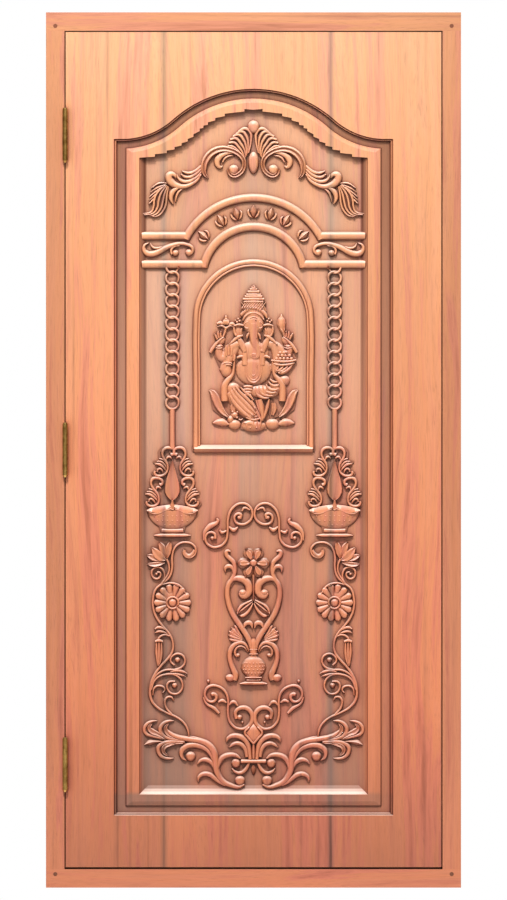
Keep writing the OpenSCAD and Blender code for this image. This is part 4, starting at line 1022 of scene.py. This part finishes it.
# the niche's rim with a finer bead inside it, and its sill
niche = {
    "radius": 140.4,
    "spring": 1332,
    "foot": 1018,
    "half": 6.8,
    "bead": 3.4,
    "beadRadius": 132,
    "beadFoot": 1026,
    "sideZ": 1180,
    "sill": [[(-144, 1018, 9.4), (0, 1018, 9.4), (144, 1018, 9.4)]],
}

bm = bmesh.new()
for radius, halfWidth, foot in ((niche["radius"], niche["half"], niche["foot"]),
                                (niche["beadRadius"], niche["bead"], niche["beadFoot"])):
    turns = [math.radians(a) for a in range(0, 181, 12)]
    arc = [(-radius * math.cos(turn), niche["spring"] + radius * math.sin(turn), halfWidth) for turn in turns]
    cutLines(bm, [[(-radius, foot, halfWidth), (-radius, niche["sideZ"], halfWidth)] + arc
                  + [(radius, niche["sideZ"], halfWidth), (radius, foot, halfWidth)]])
cutLines(bm, niche["sill"], "keeled", 0.6, tall=1.2)
finishCarving(bm, "nicheRim")

# the seated figure in the niche: rounded masses, limbs and trunk, fused into one skin
figure = {
    # x, z, half width, half height, rise and turn of each rounded mass
    "masses": [
        (0, 1210, 44, 38, 11.5, 0), (0, 1252, 38, 30, 9.5, 0), (0, 1321, 26, 26, 12, 0),
        (0, 1352, 32, 26, 9, 0), (0, 1378, 22, 18, 8, 0), (-37, 1303, 12, 19, 6.4, 8),
        (37, 1303, 12, 19, 6.4, -8), (20, 1157, 44, 16, 9.5, -3), (54, 1166, 16, 14, 9, 0),
        (-50, 1165, 18, 15, 9, 0), (0, 1094, 20, 10, 8.5, 0), (75, 1184, 14, 13, 8.5, 0),
        (-66, 1207, 14, 15, 9.5, 0), (-58, 1238, 12, 13, 9, 0), (-78, 1281, 9, 12, 8.5, -30),
        (78, 1281, 9, 12, 8.5, 30),
    ],
    "limbs": [
        [(-36, 1274, 10), (-58, 1262, 10), (-76, 1238, 10), (-84, 1254, 9.4), (-82, 1270, 8)],
        [(36, 1274, 10), (58, 1266, 10), (80, 1248, 9.4), (87, 1258, 9), (84, 1270, 8)],
        [(-42, 1266, 10), (-56, 1240, 10), (-68, 1206, 11), (-62, 1222, 9)],
        [(44, 1276, 10), (54, 1256, 10), (56, 1232, 10), (52, 1214, 9), (60, 1206, 8)],
        [(-56, 1158, 15), (-42, 1140, 19), (-24, 1121, 20), (-8, 1106, 17), (0, 1096, 14)],
        [(-20, 1160, 8), (0, 1158, 10), (30, 1156, 12)],
    ],
    "trunk": [
        [(0, 1322, 12), (0, 1304, 11), (1, 1288, 10), (4, 1274, 9), (10, 1262, 8), (13, 1251, 6.8),
         (9, 1242, 5.6), (0, 1241, 4.8), (-6, 1246, 3.6)],
    ],
    # the fused skin's step, how often it is smoothed, and how far below the ground it is cut off
    "skinStep": 1.4,
    "smoothings": 2,
    "back": -1,
}

bm = bmesh.new()
for mass in figure["masses"]:
    dome(bm, *mass, segments=24, rings=16)
cutLines(bm, figure["limbs"], tall=0.95)
cutLines(bm, figure["trunk"], lift=4)
bmesh.ops.recalc_face_normals(bm, faces=bm.faces)
mesh = bpy.data.meshes.new("figureRough")
bm.to_mesh(mesh)
bm.free()
rough = bpy.data.objects.new("figureRough", mesh)
bpy.context.collection.objects.link(rough)
fused = rough.modifiers.new("fused", "REMESH")
fused.mode = "VOXEL"
fused.voxel_size = figure["skinStep"]
graph = bpy.context.evaluated_depsgraph_get()
bm = bmesh.new()
bm.from_mesh(rough.evaluated_get(graph).to_mesh())
rough.evaluated_get(graph).to_mesh_clear()
bpy.data.objects.remove(rough)
for smoothing in range(figure["smoothings"]):
    bmesh.ops.smooth_vert(bm, verts=bm.verts, factor=0.5, use_axis_x=True, use_axis_y=True, use_axis_z=True)
cutAway(bm, (0, 0, figure["back"]), (0, 0, 1), False)
finishCarving(bm, "seatedFigure", softShadedTeak)

# what is cut over the figure: crown, face, dress and what it holds
crown = {
    # the height, half length and half width of each tier
    "tiers": [
        (1410, 5, 2.6), (1406, 9, 2.6), (1400, 14, 3.2), (1393, 18, 3), (1388, 21, 3.8), (1382, 26, 3.4),
        (1376, 24, 2.4),
    ],
    "bands": [
        [(-33, 1336, 2), (-28, 1346, 4), (-15, 1356, 4.4), (0, 1360, 4.4), (15, 1356, 4.4), (28, 1346, 4),
         (33, 1336, 2)],
        [(-26, 1330, 1.6), (-20, 1340, 2.6), (-10, 1347, 3), (0, 1349, 3), (10, 1347, 3), (20, 1340, 2.6),
         (26, 1330, 1.6)],
    ],
    # the step of the crossed lines below the tiers, and the heights of their tops, crossings and feet
    "lattice": 6,
    "latticeHeights": (1374, 1367, 1359),
    "tip": (0, 1413, 4, 4, 8),
}
head = {
    "both": [
        [(-22, 1315, 1.2), (-16, 1311, 2.4), (-9, 1315, 1.4)],
        [(-22, 1322, 1.2), (-15, 1326, 2.2), (-8, 1322, 1.2)],
        [(-11, 1300, 2), (-15, 1292, 3), (-17, 1284, 1)],
        [(-24, 1318, 2), (-36, 1320, 3), (-48, 1317, 1.4)],
        [(-28, 1312, 1.6), (-31, 1300, 2.8), (-29, 1290, 1.6)],
        [(-47, 1316, 1.4), (-47, 1304, 2.8), (-42, 1292, 2.4)],
        [(-26, 1294, 2), (-38, 1289, 4.4), (-50, 1279, 3), (-58, 1272, 1)],
    ],
    "brow": [
        [(-9, 1336, 1.2), (0, 1339, 1.8), (9, 1336, 1.2)], [(-7, 1331, 1), (0, 1333, 1.6), (7, 1331, 1)],
        [(-8, 1298, 1), (0, 1296, 1.6), (8, 1298, 1)], [(-7, 1288, 1), (1, 1286, 1.6), (9, 1288, 1)],
        [(-4, 1278, 1), (3, 1276, 1.6), (11, 1277, 1)], [(1, 1267, 1), (8, 1266, 1.6), (15, 1269, 1)],
    ],
    "earDrops": [(-40, 1326, 3.4), (-34, 1329, 3.4), (-37, 1334, 3), (-44, 1330, 2.6)],
}
dress = {
    "shoulder": [
        [(-35, 1287, 4.4), (-31, 1276, 7), (-25, 1264, 7.4), (-21, 1254, 5.4)],
        [(-21, 1252, 6), (-21, 1238, 7), (-21, 1222, 7)],
        [(-40, 1239, 2), (-33, 1242, 3.4), (-25, 1243, 3)],
    ],
    "garland": [
        [(-19, 1228, 3), (-17, 1208, 4.4), (-12, 1190, 4.8), (0, 1182, 5.2), (12, 1190, 4.8),
         (17, 1208, 4.4), (19, 1228, 3)],
    ],
    "beads": [
        [(-8, 1224, 1.6), (-7, 1204, 1.8), (0, 1196, 2), (7, 1204, 1.8), (8, 1224, 1.6)],
        [(-4, 1222, 1.2), (0, 1208, 1.8), (4, 1222, 1.2)],
    ],
    "sash": [
        [(-46, 1234, 2), (-48, 1214, 3), (-51, 1198, 4), (-61, 1186, 6), (-69, 1172, 7.4), (-71, 1152, 8),
         (-70, 1134, 7.6)],
    ],
    "wrists": [
        [(-76, 1219, 1.4), (-64, 1223, 2.4), (-52, 1221, 1.4)],
        [(-75, 1225, 1.4), (-64, 1228, 2.2), (-52, 1226, 1.4)],
    ],
    "raisedWrists": [
        [(-93, 1264, 1.4), (-83, 1262, 2.4), (-74, 1265, 1.4)],
        [(-93, 1269, 1.4), (-83, 1267, 2.2), (-75, 1270, 1.4)],
    ],
    "raised": [
        [(-105, 1252, 3.4), (-99, 1262, 4), (-90, 1274, 3.6), (-80, 1284, 3), (-72, 1290, 1.6)],
        [(-88, 1284, 2.4), (-92, 1292, 2.8), (-96, 1299, 1.4)],
        [(-84, 1287, 2.6), (-86, 1296, 2.8), (-86, 1305, 1.4)],
        [(-79, 1289, 2.6), (-80, 1297, 2.8), (-79, 1305, 1.4)],
    ],
    "blessing": [
        [(-66, 1244, 2.8), (-67, 1258, 3.4), (-66, 1271, 1.6)],
        [(-60, 1247, 3), (-60, 1262, 3.4), (-59, 1274, 1.6)],
        [(-54, 1245, 2.8), (-53, 1258, 3.2), (-52, 1268, 1.6)],
        [(-48, 1232, 2.6), (-46, 1240, 3.4), (-46, 1248, 1.6)],
    ],
    "axe": [
        [(-89, 1322, 2), (-81, 1324, 5), (-74, 1321, 3.4)],
        [(-74, 1323, 4), (-67, 1326, 9), (-60, 1323, 4)],
        [(-60, 1320, 3), (-52, 1322, 4.4), (-44, 1318, 1.6)],
        [(-67, 1344, 1.2), (-67, 1337, 3), (-67, 1332, 4)],
        [(-88, 1315, 1.2), (-77, 1317, 2.4), (-67, 1312, 3), (-57, 1317, 2.4), (-46, 1314, 1.2)],
        [(-67, 1312, 3), (-70, 1300, 3), (-74, 1290, 2.6)],
    ],
    "bud": [
        [(68, 1346, 1), (68, 1340, 3), (68, 1332, 8.6), (68, 1322, 11), (70, 1310, 8), (73, 1299, 4),
         (76, 1290, 2.4)],
    ],
    "budVeins": [
        [(60, 1334, 1), (63, 1318, 2), (71, 1302, 1)], [(68, 1338, 1), (69, 1320, 2.2), (74, 1302, 1)],
        [(76, 1334, 1), (75, 1318, 2), (76, 1304, 1)],
    ],
    "bowl": [
        [(43, 1233, 2), (58, 1231, 3), (74, 1230, 3.2), (90, 1231, 3), (104, 1234, 1.6)],
        [(49, 1225, 1.6), (62, 1222, 3), (76, 1222, 3), (90, 1224, 3), (100, 1227, 1.4)],
    ],
    "basket": [
        [(96, 1224, 1.6), (86, 1212, 4), (70, 1203, 4.4), (60, 1203, 2)],
        [(86, 1222, 1.6), (76, 1211, 4), (64, 1205, 2.4)],
        [(74, 1221, 1.6), (67, 1212, 3.8), (60, 1206, 2)],
        [(62, 1221, 1.6), (58, 1213, 3.6), (56, 1207, 2)],
    ],
    "sweets": [
        (56, 1237), (65, 1237), (74, 1237), (83, 1237), (92, 1237), (60.5, 1244.5), (69.5, 1244.5),
        (78.5, 1244.5), (87.5, 1244.5), (65, 1251.5), (74, 1251.5), (82, 1251.5),
    ],
    "leftFolds": [
        [(-58, 1150, 1.6), (-50, 1134, 3.6), (-38, 1119, 4), (-22, 1104, 3.6), (-6, 1092, 1.6)],
        [(-56, 1160, 1.6), (-45, 1142, 3.8), (-31, 1126, 4), (-15, 1110, 3.6), (2, 1097, 1.4)],
        [(-52, 1168, 1.4), (-39, 1150, 3.6), (-24, 1134, 4), (-9, 1118, 3.4), (6, 1103, 1.4)],
        [(-44, 1170, 1.4), (-31, 1154, 3.2), (-16, 1140, 3.6), (-4, 1127, 2.6), (6, 1113, 1.2)],
        [(-32, 1168, 1.2), (-20, 1155, 2.8), (-8, 1146, 2.8), (0, 1136, 1.2)],
    ],
    "rightFolds": [
        [(5, 1168, 1.4), (8, 1152, 3.2), (20, 1143, 3.6), (38, 1141, 1.4)],
        [(13, 1170, 1.4), (17, 1156, 3.2), (30, 1148, 3.6), (48, 1147, 1.4)],
        [(22, 1172, 1.4), (26, 1161, 3.2), (40, 1154, 3.6), (58, 1156, 1.4)],
        [(30, 1175, 1.4), (36, 1165, 3.2), (48, 1161, 3.6), (62, 1164, 1.4)],
        [(36, 1181, 1.4), (44, 1173, 3.4), (54, 1171, 3.4), (64, 1174, 1.4)],
        [(40, 1188, 1.4), (48, 1181, 3.2), (60, 1181, 1.4)],
    ],
    "apron": [
        [(-5, 1136, 2), (3, 1118, 4), (12, 1100, 4), (20, 1085, 1.4)],
        [(38, 1139, 2), (34, 1120, 4), (28, 1102, 3.6), (21, 1085, 1.4)],
        [(14, 1138, 6), (18, 1120, 7), (21, 1104, 5), (21, 1087, 1.6)],
        [(6, 1137, 2), (11, 1120, 3), (16, 1104, 1.4)],
    ],
    # the height and reach of each toe of the raised foot
    "toes": [(1169, 15), (1162, 14), (1155, 13), (1149, 12)],
    "hem": [
        [(-18, 1094, 1.6), (0, 1088, 3), (16, 1092, 1.6)],
        [(-15, 1100, 1.2), (0, 1096, 2.2), (13, 1098, 1.2)],
    ],
    # the sweet at the trunk's tip, and the size of those in the bowl
    "sweet": (1, 1246, 6.4, 5.4, 6),
    "ball": (4.8, 4.4, 5.4),
}

bm = bmesh.new()
for z, half, thick in crown["tiers"]:
    cutLines(bm, [[(-half, z, thick * 0.8), (0, z, thick * 1.15), (half, z, thick * 0.8)]], lift=5, tall=0.6)
dome(bm, *crown["tip"])
cutLines(bm, crown["bands"], lift=5.2, tall=0.7)
for i in range(-4, 5):
    x = i * crown["lattice"]
    top, crossing, foot = crown["latticeHeights"]
    foot -= abs(x) * 0.25
    crossed = [[(x + lean * 6, top, 0.9), (x, crossing, 1), (x - lean * 7, foot, 0.9)] for lean in (-1, 1)]
    cutLines(bm, crossed, lift=7 - abs(i) * 0.5, tall=0.8, steps=2)
cutLines(bm, paired(head["both"]), lift=5, tall=0.9)
cutLines(bm, head["brow"], lift=8.5, tall=0.8)
for x, z, r in head["earDrops"]:
    for side in (-1, 1):
        dome(bm, side * x, z, r, r, 6, base=2, segments=12, rings=8)
cutLines(bm, paired(dress["shoulder"]), lift=4.6)
cutLines(bm, dress["garland"], "grooved", 6.4, tall=0.85)
cutLines(bm, dress["beads"], lift=7)
cutLines(bm, paired(dress["sash"]), lift=3)
dome(bm, *dress["sweet"], base=8.4)
cutLines(bm, dress["wrists"], lift=5.4)
cutLines(bm, paired(dress["raisedWrists"]), lift=4)
cutLines(bm, paired(dress["raised"]), lift=3.6)
cutAll(bm, dress, (("blessing", 4.6), ("axe", 1), ("bud", 0), ("budVeins", 4.4), ("basket", 2.4),
                   ("bowl", 4.4)))
for x, z in dress["sweets"]:
    dome(bm, x, z, *dress["ball"], base=5, segments=12, rings=8)
cutLines(bm, dress["leftFolds"], lift=9.5, tall=0.8)
cutLines(bm, dress["rightFolds"], lift=4.6, tall=0.95)
cutLines(bm, dress["apron"], lift=4)
for z, reach in dress["toes"]:
    cutLines(bm, [[(-24, z, 2.2), (-24 + reach * 0.6, z + 0.6, 3.6), (-24 + reach * 1.5, z, 2.4)]], lift=5)
cutLines(bm, dress["hem"], lift=6)
finishCarving(bm, "figureDress", softShadedTeak)

# the lotus it sits on, with the mouse at its foot
lotus = {
    "back": [
        [(-108, 1161, 1), (-100, 1155, 7), (-93, 1142, 10), (-86, 1125, 9.4), (-76, 1109, 7),
         (-62, 1096, 2.6)],
        [(-48, 1130, 5), (-50, 1116, 7), (-46, 1100, 4)],
    ],
    "front": [[(-100, 1080, 1.2), (-88, 1082, 7), (-76, 1082, 9.4), (-66, 1079, 6), (-60, 1077, 1.6)]],
    "nearPetals": [(-46, 1077, 16, 12.5, 9.5), (46, 1078, 17, 13.5, 9.5), (0, 1074, 31, 15, 11.5)],
    "ribs": [-18, -9, 0, 9, 18],
    "mouse": [
        (-46, 1100, 9, 8, 11), (-56, 1089, 8, 10, 10), (-39, 1107, 3.4, 3.4, 11), (-51, 1108, 3.4, 3.4, 11),
        (-40, 1094, 4, 3, 11), (-46, 1100, 2, 2, 12.4),
    ],
    "tail": [[(-38, 1093, 1), (-32, 1088, 1.8), (-26, 1091, 1)]],
}

bm = bmesh.new()
cutLines(bm, paired(lotus["back"]), "dished")
cutLines(bm, paired(lotus["front"]))
for petal in lotus["nearPetals"]:
    dome(bm, *petal)
for x in lotus["ribs"]:
    cutLines(bm, [[(x, 1087, 1.4), (x * 0.95, 1077, 2.4), (x * 0.8, 1066, 1.2)]], lift=6.4)
for ball in lotus["mouse"]:
    dome(bm, *ball, segments=16, rings=10)
cutLines(bm, lotus["tail"], lift=4)
finishCarving(bm, "lotusSeat", softShadedTeak)

# floor, light and camera: each lamp has a place, what it looks at, its power, width and height
middle = Vector([(a + b) / 2 for a, b in zip(*cadBox)])
studio = {
    "floorSize": 6.0,
    "viewHeight": 2.19,
    "viewDistance": 9.0,
    "daylight": 0.12,
    "sunStrength": 3.75,
    "sunAngle": 7,
    "sunPlace": (-0.5, -2.4, 4.7),
    "keyLamp": ((-0.25, -1.25, 3.05), (0, 0, 1.5), 26, 1.5, 0.5),
    "frontLamp": ((0, -4.5, 1.6), middle, 23, 2.4, 2.4),
    "leftBackLamp": ((-2.6, 2.6, 2.2), middle, 22, 1.6, 2.0),
    "rightBackLamp": ((2.6, 2.6, 2.2), middle, 22, 1.6, 2.0),
    "leftFill": ((-3.4, -2.6, 1.2), middle, 5, 1.5, 1.5),
    "rightFill": ((3.4, -2.6, 1.2), middle, 5, 1.5, 1.5),
    "backFill": ((0.6, 3.2, 2.2), middle, 20, 1.8, 1.8),
}

bm = bmesh.new()
bmesh.ops.create_grid(bm, x_segments=1, y_segments=1, size=studio["floorSize"] / 2)
floorMesh = bpy.data.meshes.new("studioFloor")
bm.to_mesh(floorMesh)
bm.free()
floor = bpy.data.objects.new("studioFloor", floorMesh)
bpy.context.collection.objects.link(floor)
# matt pale paint, with a faint speckle about 30 mm across, coarser than real so that it shows
floorPaint, tree, shader = newMaterial("matteFloorPaint")
speckle = addNode(tree, "TexNoise", {"Vector": addNode(tree, "TexCoord").outputs["Object"], "Scale": 30.0})
floorTone = setRamp(addNode(tree, "ValToRGB", [speckle]), [(0.3, "#DAD8D4"), (0.7, "#E2E0DC")])
feed(tree, shader, {"Base Color": floorTone, "Roughness": 0.8})
floorMesh.materials.append(floorPaint)

world = bpy.data.worlds.new("paleStudio")
scene.world = world
world.use_nodes = True
tree = world.node_tree
tree.nodes.clear()
# the camera sees white, and the door is lit by a weak warm sky
seen = addNode(tree, "Background", {"Color": (1, 1, 1, 1), "Strength": 1.0})
lit = addNode(tree, "Background", {"Color": (1, 0.985, 0.97, 1), "Strength": studio["daylight"]})
path = addNode(tree, "LightPath")
both = addNode(tree, "MixShader", [path.outputs["Is Camera Ray"], lit, seen])
addNode(tree, "OutputWorld", {"Surface": both})


def lookAt(thing, place, target):
    thing.location = place
    thing.rotation_euler = (Vector(target) - Vector(place)).to_track_quat("-Z", "Y").to_euler()
    bpy.context.collection.objects.link(thing)


for name in [key for key in studio if key.endswith(("Lamp", "Fill"))]:
    place, target, power, wide, high = studio[name]
    data = bpy.data.lights.new(name, "AREA")
    data.shape = "RECTANGLE"
    data.size = wide
    data.size_y = high
    data.energy = power
    lookAt(bpy.data.objects.new(name, data), place, target)
sunData = bpy.data.lights.new("highSun", "SUN")
sunData.energy = studio["sunStrength"]
sunData.angle = math.radians(studio["sunAngle"])
lookAt(bpy.data.objects.new("highSun", sunData), studio["sunPlace"], (0, 0, 1.0))

cameraData = bpy.data.cameras.new("frontCamera")
cameraData.type = "ORTHO"
cameraData.ortho_scale = studio["viewHeight"]
camera = bpy.data.objects.new("frontCamera", cameraData)
lookAt(camera, (0, -studio["viewDistance"], middle[2]), (0, 0, middle[2]))
scene.camera = camera
print("studio lit")
